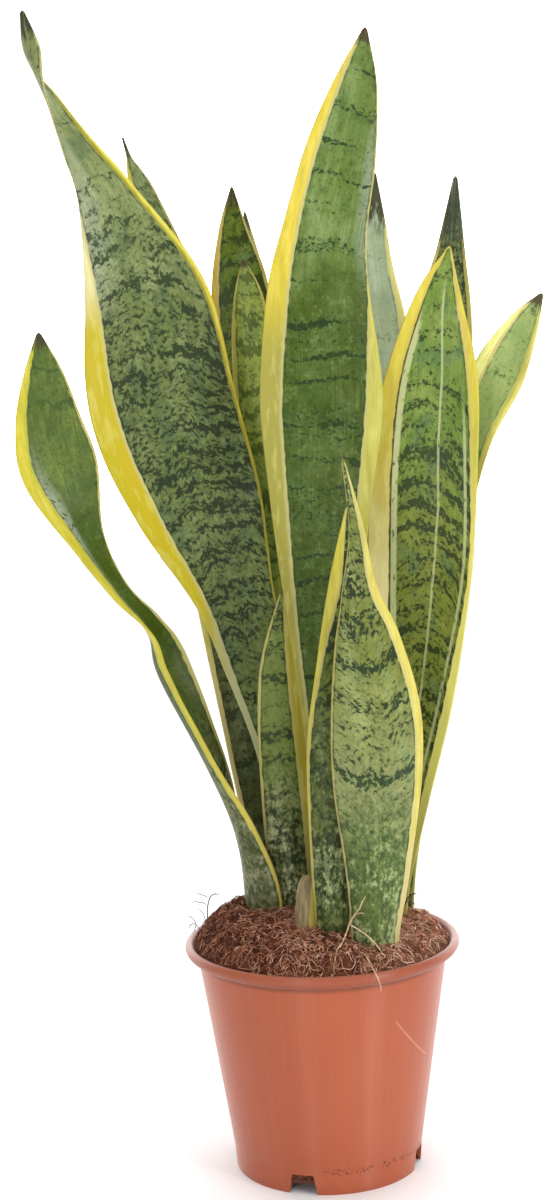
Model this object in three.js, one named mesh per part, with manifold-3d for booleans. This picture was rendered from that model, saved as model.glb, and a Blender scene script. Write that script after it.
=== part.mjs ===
// A potted snake plant: a clump of upright, twisted, yellow-edged leaves grown
// from a buried rootstock, in a tapered plastic nursery pot filled to a mound
// with fibrous potting soil.
//
// Units are millimetres. +Z is up, +X is the plant's right and -Y its front.
// The origin is the centre of the pot's standing plane.

import * as THREE from "three";
import { mergeVertices } from "three/addons/utils/BufferGeometryUtils.js";
import Module from "manifold-3d";

const wasm = await Module();
wasm.setup();

// ---- driving dimensions ----

const POT_HEIGHT = 118;
const RIM_RADIUS = 70;
const BASE_RADIUS = 47.5;
const WALL = 1.2;
const LIP_DROP = 9.5; // height of the flared lip below the rim's top
const LIP_NECK_RADIUS = 63.2; // outside of the wall just under the lip
const SKIRT_HEIGHT = 12; // the nearly upright foot of the wall
const SKIRT_RADIUS = 48.4;
const FLOOR_RISE = 5.5; // the underside of the floor above the standing plane
const STUD_RADIUS = 8; // moulded stud in the middle of the underside
const POT_SEGMENTS = 60;

const NOTCH_COUNT = 4;
const NOTCH_TURN = -16; // degrees from the front to the first drain notch
const NOTCH_HEIGHT = 9;
const NOTCH_TOP_WIDTH = 12;
const NOTCH_FOOT_WIDTH = 17;
const NOTCH_REACH = [40, 52]; // radii between which a notch is cut

const FIT = 0.3; // gap kept between neighbouring pieces
const SOIL_SEGMENTS = 48;
const SOIL_HEAP = 12; // the mound's middle above the rim
const SOIL_TILT = 5; // the mound is higher at its back left

const BLADE_SPAN = 22; // length of one ring of a leaf's mesh
const BLADE_COLUMNS = 6; // strips across a leaf's face
const EDGE_THICKNESS = 0.9;
const TIP_THICKNESS = 1.0;


// Each leaf follows stations from its buried foot to its tip. A station is
// [x, y, z, half width, turn, bow]. The turn, in degrees, takes the right edge
// away from the front. The bow is how far the middle of the blade stands behind
// its edges, as a share of the half width: below 0 the blade bulges forward.
// `ripple` is how far the edges wave, and `thick` the thickness at the foot.
const LEAVES = {
  leaf_tall_left: {
    thick: 3.4, ripple: 1.4, waves: 5,
    stations: [
      [-12, 28, 88, 10, -62, 0.55], [-13, 28, 143, 11, -64, 0.6],
      [-18, 26, 198, 14, -62, 0.6], [-25, 24, 245, 19, -50, 0.45],
      [-38, 17, 292, 22, -20, 0.25], [-55, 9, 343, 32, 4, 0.12],
      [-70, 1, 392, 36, 12, 0.1], [-76, -5, 443, 30, 12, 0.12],
      [-92, -9, 491, 15, 16, 0.2], [-105, -9, 516, 9, 36, 0.2],
      [-116, -7, 541, 5, 80, 0.1], [-126, -5, 563, 4.5, 125, 0.15],
      [-130, -5, 581, 0.5, 140, 0],
    ],
  },
  leaf_far_left: {
    thick: 3.4, ripple: 1.2, waves: 4,
    stations: [
      [-29, 13, 88, 13, 126, 0.5], [-29, 13, 137, 15, 128, 0.45],
      [-36, 12, 172, 13, 112, 0.4], [-49, 10, 210, 12, 88, 0.4],
      [-70, 6, 262, 13, 60, 0.35], [-93, -1, 300, 11, 80, 0.25],
      [-110, -7, 327, 12, 44, 0.15], [-121, -13, 361, 18, 14, 0.1],
      [-125, -18, 384, 15, 10, 0.15], [-126, -22, 408, 8, 8, 0.2],
      [-127, -26, 429, 0.5, 0, 0],
    ],
  },
  leaf_behind_tall_left: {
    thick: 3.0, ripple: 1.0, waves: 4,
    stations: [
      [-25, 46, 88, 8, 20, 0.5], [-27, 48, 141, 8, 22, 0.5],
      [-35, 52, 207, 12, 24, 0.3], [-45, 55, 290, 16, 24, 0.2],
      [-55, 62, 392, 17, 22, 0.15], [-64, 68, 444, 15, 20, 0.15],
      [-78, 77, 497, 7, 14, 0.2], [-90, 84, 531, 0.5, 0, 0],
    ],
  },
  leaf_back_dark: {
    thick: 3.0, ripple: 0.8, waves: 4,
    stations: [
      [-7, 42, 88, 8, 12, 0.5], [-9, 43, 138, 8, 12, 0.5],
      [-16, 47, 208, 10, 14, 0.3], [-24, 50, 287, 15, 14, 0.2],
      [-27, 54, 365, 18, 14, 0.15], [-30, 60, 443, 16, 12, 0.15],
      [-33, 64, 478, 8, 8, 0.15], [-33, 66, 502, 0.5, 0, 0],
    ],
  },
  leaf_back_grey: {
    thick: 2.8, ripple: 0.8, waves: 3,
    stations: [
      [8, 50, 88, 7, -10, 0.5], [6, 52, 134, 7, -10, 0.45],
      [-4, 62, 231, 11, -12, 0.25], [-13, 70, 311, 12, -12, 0.2],
      [-19, 78, 391, 13, -10, 0.15], [-23, 86, 443, 9, -6, 0.15],
      [-27, 92, 491, 0.5, 0, 0],
    ],
  },
  leaf_centre_left: {
    thick: 2.8, ripple: 0.9, waves: 4,
    stations: [
      [6, 25, 88, 6, 0, 0.5], [6, 26, 142, 7, 0, 0.5],
      [4, 28, 205, 8, -4, 0.3], [-7, 28, 265, 10, -8, 0.25],
      [-19, 28, 335, 14, -14, 0.15], [-24, 30, 405, 12, -14, 0.15],
      [-26, 32, 442, 8, -10, 0.15], [-28, 33, 463, 0.5, 0, 0],
    ],
  },
  leaf_tall_centre: {
    thick: 3.4, ripple: 1.2, waves: 5,
    stations: [
      [8, -2, 88, 8, 0, 0.45], [7, -3, 146, 9, 0, 0.45],
      [7, -6, 215, 12, -4, 0.3], [6, -9, 280, 18, -8, 0.2],
      [6, -13, 342, 25, -6, 0.12], [8, -17, 391, 30, -2, 0.1],
      [8, -20, 440, 24, 2, 0.12], [13, -22, 474, 18, 6, 0.15],
      [20, -24, 509, 14, 8, 0.2], [27, -26, 536, 9, 6, 0.15],
      [34, -28, 560, 0.5, 0, 0],
    ],
  },
  leaf_behind_centre: {
    thick: 2.8, ripple: 0.9, waves: 4,
    stations: [
      [19, 29, 88, 7, -8, 0.5], [21, 29, 139, 7, -8, 0.45],
      [30, 29, 208, 9, -12, 0.3], [38, 31, 269, 11, -16, 0.2],
      [43, 35, 339, 15, -18, 0.15], [42, 42, 415, 13, -18, 0.15],
      [40, 48, 456, 6, -16, 0.15], [38, 52, 479, 4, -10, 0.1],
      [41, 56, 506, 0.5, 0, 0],
    ],
  },
  leaf_broad_right: {
    thick: 3.4, ripple: 1.1, waves: 4,
    stations: [
      [32, 8, 88, 10, 4, 0.55], [35, 8, 139, 11, 2, 0.55],
      [42, 7, 186, 15, -4, 0.45], [51, 5, 241, 20, -8, 0.3],
      [55, 2, 301, 26, -10, 0.2], [58, -1, 356, 27, -10, 0.15],
      [63, -4, 400, 23, -8, 0.15], [67, -7, 438, 12, -4, 0.15],
      [73, -9, 464, 0.5, 0, 0],
    ],
  },
  leaf_front_right: {
    thick: 3.6, ripple: 1.0, waves: 3,
    stations: [
      [26, -30, 88, 11, 4, -0.6], [26, -32, 126, 12, 4, -0.55],
      [28, -34, 160, 16, 4, -0.45], [29, -36, 205, 22, 4, -0.25],
      [29, -38, 240, 22, 2, -0.15], [26, -40, 276, 16, -6, -0.12],
      [23, -43, 301, 9, -18, -0.1], [22, -46, 331, 4, -24, 0],
      [16, -50, 366, 0.5, 0, 0],
    ],
  },
  leaf_back_right: {
    thick: 3.0, ripple: 0.9, waves: 4,
    stations: [
      [33, 40, 88, 7, -14, 0.5], [36, 42, 137, 8, -18, 0.45],
      [48, 48, 206, 13, -24, 0.3], [61, 55, 284, 19, -26, 0.2],
      [69, 63, 362, 21, -24, 0.15], [75, 72, 430, 15, -20, 0.15],
      [79, 78, 467, 7, -12, 0.15], [85, 84, 503, 0.5, 0, 0],
    ],
  },
  leaf_far_right: {
    thick: 3.0, ripple: 1.0, waves: 4,
    stations: [
      [40, 21, 88, 7, -10, 0.5], [43, 21, 140, 7, -12, 0.45],
      [49, 22, 182, 8, -16, 0.35], [60, 22, 240, 10, -18, 0.25],
      [74, 20, 324, 11, -18, 0.2], [83, 17, 370, 11, -18, 0.2],
      [98, 13, 402, 12, -20, 0.2], [110, 10, 424, 7, -18, 0.2],
      [120, 8, 440, 0.5, 0, 0],
    ],
  },
  leaf_front_middle: {
    thick: 3.0, ripple: 0.8, waves: 3,
    stations: [
      [5, -25, 88, 8, 0, -0.55], [5, -26, 124, 8, 0, -0.5],
      [8, -25, 167, 13, 4, -0.35], [10, -23, 218, 15, 6, -0.2],
      [13, -23, 262, 12, 8, -0.15], [16, -26, 305, 7, 6, -0.1],
      [19, -30, 343, 0.5, 0, 0],
    ],
  },
  leaf_front_left: {
    thick: 3.0, ripple: 0.8, waves: 3,
    stations: [
      [-13, 11, 88, 10, -10, -0.35], [-14, 10, 134, 11, -8, -0.35],
      [-16, 8, 180, 12, 0, -0.3], [-16, 5, 230, 13, 6, -0.2],
      [-16, 4, 262, 10, 4, -0.15], [-14, 3, 298, 0.5, 0, 0],
    ],
  },
  dry_sheath: {
    thick: 1.0, ripple: 0.3, waves: 2,
    stations: [
      [-9, -22, 104, 6, -6, -0.45], [-9, -22, 128, 6, -8, -0.45],
      [-7, -20, 146, 5, -14, -0.4], [-4, -18, 157, 0.5, -16, 0],
    ],
  },
};

// The rootstock branches under the soil; each arm is a chain of swollen joints
// [x, y, z, radius].
const STOCK_ARMS = [
  [[-24, 36, 85, 8], [-14, 20, 84, 9], [-4, 4, 83, 10], [8, -12, 83, 9], [17, -29, 84, 8]],
  [[-4, 4, 83, 10], [12, 14, 83, 9], [28, 22, 84, 8]],
];

// ---- finishes ----

const finish = (name, colour, roughness) =>
  new THREE.MeshStandardMaterial({ name, color: colour, roughness, metalness: 0 });

const potPlastic = finish("terracotta_plastic", 0xbe6e50, 0.42);
const pottingSoil = finish("potting_soil", 0x6a4232, 0.95);
const rootSkin = finish("rootstock", 0xc9a27a, 0.8);
const dryLeaf = finish("dry_sheath", 0xb39a6b, 0.75);
const GREENS = {
  leaf_tall_left: 0x6f7a5e, leaf_far_left: 0x5f7350, leaf_behind_tall_left: 0x66755a,
  leaf_back_dark: 0x3f5534, leaf_back_grey: 0x70796a, leaf_centre_left: 0x4c6238,
  leaf_tall_centre: 0x56683f, leaf_behind_centre: 0x66745c, leaf_broad_right: 0x5f7146,
  leaf_front_right: 0x66833f, leaf_back_right: 0x596b4a, leaf_far_right: 0x7d8f5c,
  leaf_front_middle: 0x41592c, leaf_front_left: 0x4a5f3a,
};

// ---- solids and booleans ----

function toSolid(geometry) {
  const bare = geometry.clone();
  for (const extra of ["normal", "uv", "color"]) bare.deleteAttribute(extra);
  const merged = mergeVertices(bare, 1e-4);
  return new wasm.Manifold(new wasm.Mesh({
    numProp: 3,
    vertProperties: new Float32Array(merged.attributes.position.array),
    triVerts: new Uint32Array(merged.index.array),
  }));
}

function toGeometry(solid) {
  const { vertProperties, triVerts } = solid.getMesh();
  return indexedGeometry(vertProperties, triVerts);
}

function indexedGeometry(positions, faces) {
  const geometry = new THREE.BufferGeometry();
  geometry.setAttribute("position", new THREE.BufferAttribute(new Float32Array(positions), 3));
  geometry.setIndex(new THREE.BufferAttribute(new Uint32Array(faces), 1));
  geometry.computeVertexNormals();
  return geometry;
}

// Joins closed loops of points, all of the same length, into one closed skin;
// the first and last loops are capped with strips between their two halves.
function loftLoops(loops) {
  const count = loops[0].length;
  const half = count / 2;
  const faces = [];
  for (let ring = 0; ring + 1 < loops.length; ring += 1) {
    for (let k = 0; k < count; k += 1) {
      const a = ring * count + k;
      const b = ring * count + ((k + 1) % count);
      // Opposite strips split along the same diagonal, so both faces of a
      // waved blade stay parallel.
      if (k < half) faces.push(a, b, a + count, b, b + count, a + count);
      else faces.push(a, b, b + count, a, b + count, a + count);
    }
  }
  const last = (loops.length - 1) * count;
  for (let k = 0; k + 1 < half; k += 1) {
    const far = count - 1 - k;
    faces.push(k, far, k + 1, k + 1, far, far - 1);
    faces.push(last + k, last + k + 1, last + far, last + k + 1, last + far - 1, last + far);
  }
  return indexedGeometry(loops.flat().flatMap((point) => point.toArray()), faces);
}

// ---- leaves ----

const FRONT_TO_BACK = new THREE.Vector3(0, 1, 0);

// The middle line, width, turn and bow of a leaf, smooth between its stations.
function leafCurves({ stations }) {
  const line = new THREE.CatmullRomCurve3(
    stations.map(([x, y, z]) => new THREE.Vector3(x, y, z)), false, "catmullrom", 0.5);
  const shape = new THREE.CatmullRomCurve3(
    stations.map(([, , , half, turn, bow]) => new THREE.Vector3(half, turn, bow)),
    false, "catmullrom", 0.5);
  return { line, shape };
}

// One closed loop round a leaf: its front face from left edge to right edge and
// its back face from right to left. `swell` makes the loop larger all round.
function leafLoop(leaf, curves, t, swell = 0) {
  const centre = curves.line.getPoint(t);
  const along = curves.line.getTangent(t);
  const { x: half, y: turn, z: bow } = curves.shape.getPoint(t);
  const level = new THREE.Vector3().crossVectors(FRONT_TO_BACK, along).normalize();
  const across = level.applyAxisAngle(along, THREE.MathUtils.degToRad(turn));
  const behind = new THREE.Vector3().crossVectors(along, across);

  const width = Math.max(half, TIP_THICKNESS * 0.6);
  const middle = THREE.MathUtils.lerp(leaf.thick, Math.min(leaf.thick, 1.6), t);
  const edge = Math.min(EDGE_THICKNESS, middle);
  const ripple = leaf.ripple * Math.min(1, width / 12) * Math.sin(Math.PI * t);
  const face = (u, side) => {
    const rim = u * u;
    const wave = ripple * rim * u * Math.sin(leaf.waves * 2 * Math.PI * t + leaf.thick * 7 + u);
    const taper = THREE.MathUtils.lerp(middle, edge, rim) * Math.min(1, 0.4 + width / 10);
    const thickness = Math.max(taper, 0.8) / 2 + swell;
    return centre.clone()
      .addScaledVector(across, u * (width + swell))
      .addScaledVector(behind, bow * width * (1 - rim) + wave + side * thickness);
  };

  const loop = [];
  for (let k = 0; k <= BLADE_COLUMNS; k += 1) loop.push(face(-1 + (2 * k) / BLADE_COLUMNS, -1));
  for (let k = BLADE_COLUMNS; k >= 0; k -= 1) loop.push(face(-1 + (2 * k) / BLADE_COLUMNS, 1));
  return loop;
}

// The loops of a leaf from its foot up to a height, or to its tip, where they
// stand closer.
function leafLoops(leaf, swell = 0, ceiling = Infinity) {
  const curves = leafCurves(leaf);
  const rings = Math.round(curves.line.getLength() / BLADE_SPAN);
  const places = Array.from({ length: rings }, (_, ring) => ring / rings);
  const loops = [];
  for (const t of [...places, 1 - 0.4 / rings, 1]) {
    loops.push(leafLoop(leaf, curves, t, swell));
    if (curves.line.getPoint(t).z > ceiling) break;
  }
  return loops;
}

// The plain hole that a leaf leaves in the soil: its buried part and a little
// more, larger by the fit all round.
function leafHole(leaf) {
  const loops = leafLoops(leaf, FIT, POT_HEIGHT + 2 * SOIL_HEAP);
  loops[0] = loops[0].map((point) => point.clone().setZ(point.z - FIT));
  return toSolid(loftLoops(loops));
}

const LEAF_HOLES = Object.values(LEAVES).map(leafHole);

// ---- rootstock ----

// The swollen joints run together, `swell` larger all round.
function stockSolid(swell = 0) {
  const joints = STOCK_ARMS.flatMap((arm) => {
    const line = new THREE.CatmullRomCurve3(arm.map(([x, y, z]) => new THREE.Vector3(x, y, z)));
    const widths = new THREE.CatmullRomCurve3(arm.map(([, , , r]) => new THREE.Vector3(r, 0, 0)));
    const balls = (arm.length - 1) * 2;
    return Array.from({ length: balls + 1 }, (_, k) => {
      const centre = line.getPoint(k / balls);
      const radius = widths.getPoint(k / balls).x + swell;
      const ball = new THREE.IcosahedronGeometry(radius, 1);
      ball.scale(1, 1, 0.85);
      ball.translate(centre.x, centre.y, centre.z);
      return toSolid(ball);
    });
  });
  return joints.reduce((whole, joint) => whole.add(joint));
}

// The leaves' feet stand in sockets in the rootstock.
function stockGeometry() {
  return toGeometry(LEAF_HOLES.reduce((stock, hole) => stock.subtract(hole), stockSolid()));
}

// ---- pot ----

// Inner radius of the pot's wall at a height.
function innerRadius(z) {
  const neck = POT_HEIGHT - LIP_DROP;
  const outer = z < SKIRT_HEIGHT
    ? THREE.MathUtils.mapLinear(z, 0, SKIRT_HEIGHT, BASE_RADIUS, SKIRT_RADIUS)
    : THREE.MathUtils.mapLinear(z, SKIRT_HEIGHT, neck, SKIRT_RADIUS, LIP_NECK_RADIUS);
  return outer - WALL;
}

function potGeometry() {
  const top = POT_HEIGHT;
  const neck = top - LIP_DROP;
  const floorTop = FLOOR_RISE + WALL;
  const profile = [
    [0, 0], [STUD_RADIUS, 0], [STUD_RADIUS + 0.6, FLOOR_RISE],
    [innerRadius(0) - 1.6, FLOOR_RISE], [innerRadius(0), 0],
    [BASE_RADIUS - 0.3, 0], [BASE_RADIUS, 0.4], [SKIRT_RADIUS, SKIRT_HEIGHT],
    [LIP_NECK_RADIUS, neck], [LIP_NECK_RADIUS + 2.8, neck + 1.2],
    [RIM_RADIUS - 0.8, neck + 3], [RIM_RADIUS, neck + 4.6], [RIM_RADIUS, top - 2.4],
    [RIM_RADIUS - 0.9, top - 0.6], [RIM_RADIUS - 2.4, top], [RIM_RADIUS - 3.8, top - 0.8],
    [RIM_RADIUS - 4.6, top - 2.6], [innerRadius(neck) + 0.6, neck + 1.6],
    [innerRadius(neck - 2), neck - 2], [innerRadius(SKIRT_HEIGHT), SKIRT_HEIGHT],
    [innerRadius(floorTop), floorTop], [0, floorTop],
  ].map(([r, z]) => new THREE.Vector2(r, z));
  const body = new THREE.LatheGeometry(profile, POT_SEGMENTS);
  body.rotateX(Math.PI / 2);
  let solid = toSolid(body);
  for (let k = 0; k < NOTCH_COUNT; k += 1) {
    const azimuth = NOTCH_TURN + (360 / NOTCH_COUNT) * k;
    solid = solid.subtract(toSolid(notchGeometry(azimuth)));
  }
  return toGeometry(solid);
}

// A trapezoidal drain notch in the foot, at an azimuth counted from the front.
function notchGeometry(azimuth) {
  const foot = NOTCH_FOOT_WIDTH / 2;
  const crown = NOTCH_TOP_WIDTH / 2;
  const outline = new THREE.Shape([
    new THREE.Vector2(-foot, -1), new THREE.Vector2(foot, -1),
    new THREE.Vector2(crown, NOTCH_HEIGHT), new THREE.Vector2(-crown, NOTCH_HEIGHT),
  ]);
  const [near, far] = NOTCH_REACH;
  const cut = new THREE.ExtrudeGeometry(outline, { depth: far - near, bevelEnabled: false });
  cut.rotateX(Math.PI / 2);
  cut.translate(0, -near, 0);
  cut.rotateZ(THREE.MathUtils.degToRad(azimuth));
  return cut;
}

// ---- soil ----

// Lumps and hollows of the soil's surface.
function soilLump(x, y) {
  return 0.9 * Math.sin(x / 4.1 + 1.3 * Math.sin(y / 6.3))
    + 0.8 * Math.sin(y / 3.7 + 1.1 * Math.sin(x / 5.2) + 2)
    + 0.6 * Math.sin((x + y) / 2.6 + 0.7) * Math.sin((x - y) / 3.1);
}

// Height of the mound at a distance from the middle, as a share of the way out.
function soilHeight(x, y, outer) {
  const share = Math.hypot(x, y) / outer;
  const heap = SOIL_HEAP * (1 - 0.42 * share * share) - 9.5 * share ** 9;
  const tilt = (SOIL_TILT * (0.6 * y - 0.8 * x)) / 60;
  return POT_HEIGHT + heap + tilt * (1 - 0.6 * share ** 6) + soilLump(x, y);
}

function soilGeometry() {
  const floor = FLOOR_RISE + WALL + FIT;
  const brim = POT_HEIGHT - 2.5;
  const outer = RIM_RADIUS - 4.6 - FIT;
  const wallRows = [
    [innerRadius(floor) - FIT, floor], [innerRadius(SKIRT_HEIGHT) - FIT, SKIRT_HEIGHT],
    [innerRadius(POT_HEIGHT - LIP_DROP - 2) - FIT, POT_HEIGHT - LIP_DROP - 2],
    [innerRadius(POT_HEIGHT - LIP_DROP) + 0.6 - FIT, POT_HEIGHT - LIP_DROP + 1.6],
    [outer, brim],
  ];
  const shares = [0.97, 0.91, 0.82, 0.72, 0.61, 0.49, 0.36, 0.2];
  const positions = [0, 0, floor];
  const ringAt = (radius, height) => {
    for (let k = 0; k < SOIL_SEGMENTS; k += 1) {
      const angle = (2 * Math.PI * k) / SOIL_SEGMENTS;
      const x = radius * Math.cos(angle);
      const y = radius * Math.sin(angle);
      positions.push(x, y, height(x, y));
    }
  };
  for (const [radius, z] of wallRows) ringAt(radius, () => z);
  for (const share of shares) ringAt(outer * share, (x, y) => soilHeight(x, y, outer));
  positions.push(0, 0, soilHeight(0, 0, outer));

  const rings = wallRows.length + shares.length;
  const crown = positions.length / 3 - 1;
  const faces = [];
  for (let k = 0; k < SOIL_SEGMENTS; k += 1) {
    const next = (k + 1) % SOIL_SEGMENTS;
    faces.push(0, 1 + next, 1 + k);
    for (let ring = 0; ring + 1 < rings; ring += 1) {
      const a = 1 + ring * SOIL_SEGMENTS + k;
      const b = 1 + ring * SOIL_SEGMENTS + next;
      faces.push(a, b, b + SOIL_SEGMENTS, a, b + SOIL_SEGMENTS, a + SOIL_SEGMENTS);
    }
    const inmost = 1 + (rings - 1) * SOIL_SEGMENTS;
    faces.push(inmost + k, inmost + next, crown);
  }

  let solid = toSolid(indexedGeometry(positions, faces));
  for (const hole of LEAF_HOLES) solid = solid.subtract(hole);
  return toGeometry(solid.subtract(stockSolid(FIT)));
}

// ---- assembly ----

const plant = new THREE.Group();

function addPiece(name, geometry, material) {
  const mesh = new THREE.Mesh(geometry, material);
  mesh.name = name;
  plant.add(mesh);
}

addPiece("pot", potGeometry(), potPlastic);
addPiece("soil", soilGeometry(), pottingSoil);
addPiece("rootstock", stockGeometry(), rootSkin);
for (const [name, leaf] of Object.entries(LEAVES)) {
  const material = name in GREENS ? finish(`${name}_green`, GREENS[name], 0.45) : dryLeaf;
  addPiece(name, loftLoops(leafLoops(leaf)), material);
}

export default plant;
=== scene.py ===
"""Potted snake plant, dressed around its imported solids: leaves, sheath, pot, soil and roots."""

import logging
import math
import random
from dataclasses import dataclass, field
from enum import Enum
from typing import Callable, Optional, Sequence, Union

import bmesh
import bpy
from mathutils import Matrix, Vector, noise


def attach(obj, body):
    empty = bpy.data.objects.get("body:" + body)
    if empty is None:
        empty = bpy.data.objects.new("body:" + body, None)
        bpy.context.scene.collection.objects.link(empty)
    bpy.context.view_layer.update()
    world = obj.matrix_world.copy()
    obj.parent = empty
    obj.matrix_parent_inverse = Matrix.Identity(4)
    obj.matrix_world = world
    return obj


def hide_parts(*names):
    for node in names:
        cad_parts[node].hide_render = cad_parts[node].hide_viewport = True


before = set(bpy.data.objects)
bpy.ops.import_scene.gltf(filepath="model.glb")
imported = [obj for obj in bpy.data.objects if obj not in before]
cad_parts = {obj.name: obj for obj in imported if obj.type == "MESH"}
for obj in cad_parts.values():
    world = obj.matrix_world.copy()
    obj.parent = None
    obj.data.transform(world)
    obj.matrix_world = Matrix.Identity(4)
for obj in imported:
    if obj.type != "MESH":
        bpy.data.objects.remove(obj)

MM = 0.001
FULL_TURN = 2 * math.pi
CARRIED = ("across", "along", "inside", "edge", "to_tip")
log = logging.getLogger("snake_plant")

Place = tuple[float, float, float]
Colour = tuple[float, float, float, float]
Mesh, Point = bmesh.types.BMesh, bmesh.types.BMVert
Material, Piece, Socket = bpy.types.Material, bpy.types.Object, bpy.types.NodeSocket


class Slot(Enum):
    """The record's material slots."""

    POT = "pot"
    SOIL = "soil"
    DRY_SHEATH = "dry_sheath"
    GREEN = "leaf_green"
    GREY_GREEN = "leaf_grey_green"
    DARK_GREEN = "leaf_dark_green"
    LIGHT_GREEN = "leaf_light_green"


def paint(code: str) -> Colour:
    """Turns a hex colour into the linear colour that a shader takes.

    Args:
        code: six hex digits.

    Returns:
        Red, green, blue and a full alpha.
    """
    shares = (int(code[i : i + 2], 16) / 255 for i in (0, 2, 4))
    red, green, blue = (
        s / 12.92 if s <= 0.04045 else ((s + 0.055) / 1.055) ** 2.4 for s in shares
    )
    return red, green, blue, 1.0


# ---- shaders ----


def joins(operation: str, swapped: bool = False) -> Callable[["Value", "Number"], "Value"]:
    """Makes a method that joins a value and another number with one Math node.

    Args:
        operation: the node's operation.
        swapped: true where the other number comes first.

    Returns:
        The method.
    """

    def method(self: "Value", other: "Number") -> "Value":
        """Joins the two."""
        return self.graph.maths(operation, *((other, self) if swapped else (self, other)))

    return method


@dataclass(frozen=True)
class Value:
    """One number of a shader, ready for plain expressions."""

    graph: "Graph"
    socket: Socket

    __add__, __radd__ = joins("ADD"), joins("ADD", True)
    __sub__, __rsub__ = joins("SUBTRACT"), joins("SUBTRACT", True)
    __mul__, __truediv__ = joins("MULTIPLY"), joins("DIVIDE")
    most, least = joins("MAXIMUM"), joins("MINIMUM")

    def __abs__(self) -> "Value":
        """Drops the sign."""
        return self.graph.maths("ABSOLUTE", self)

    def step(self, low: "Number", high: "Number") -> "Value":
        """Rises smoothly from 0 to 1, or falls where the low end is the larger.

        Args:
            low: where it is 0.
            high: where it is 1.

        Returns:
            The step.
        """
        sockets = {"Value": self, "From Min": low, "From Max": high}
        made = self.graph.node("MapRange", sockets, {"interpolation_type": "SMOOTHSTEP"})
        return Value(self.graph, made.outputs["Result"])


Number = Union[Value, float]
Input = Union[Value, Socket, float, str, Sequence[float]]


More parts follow.
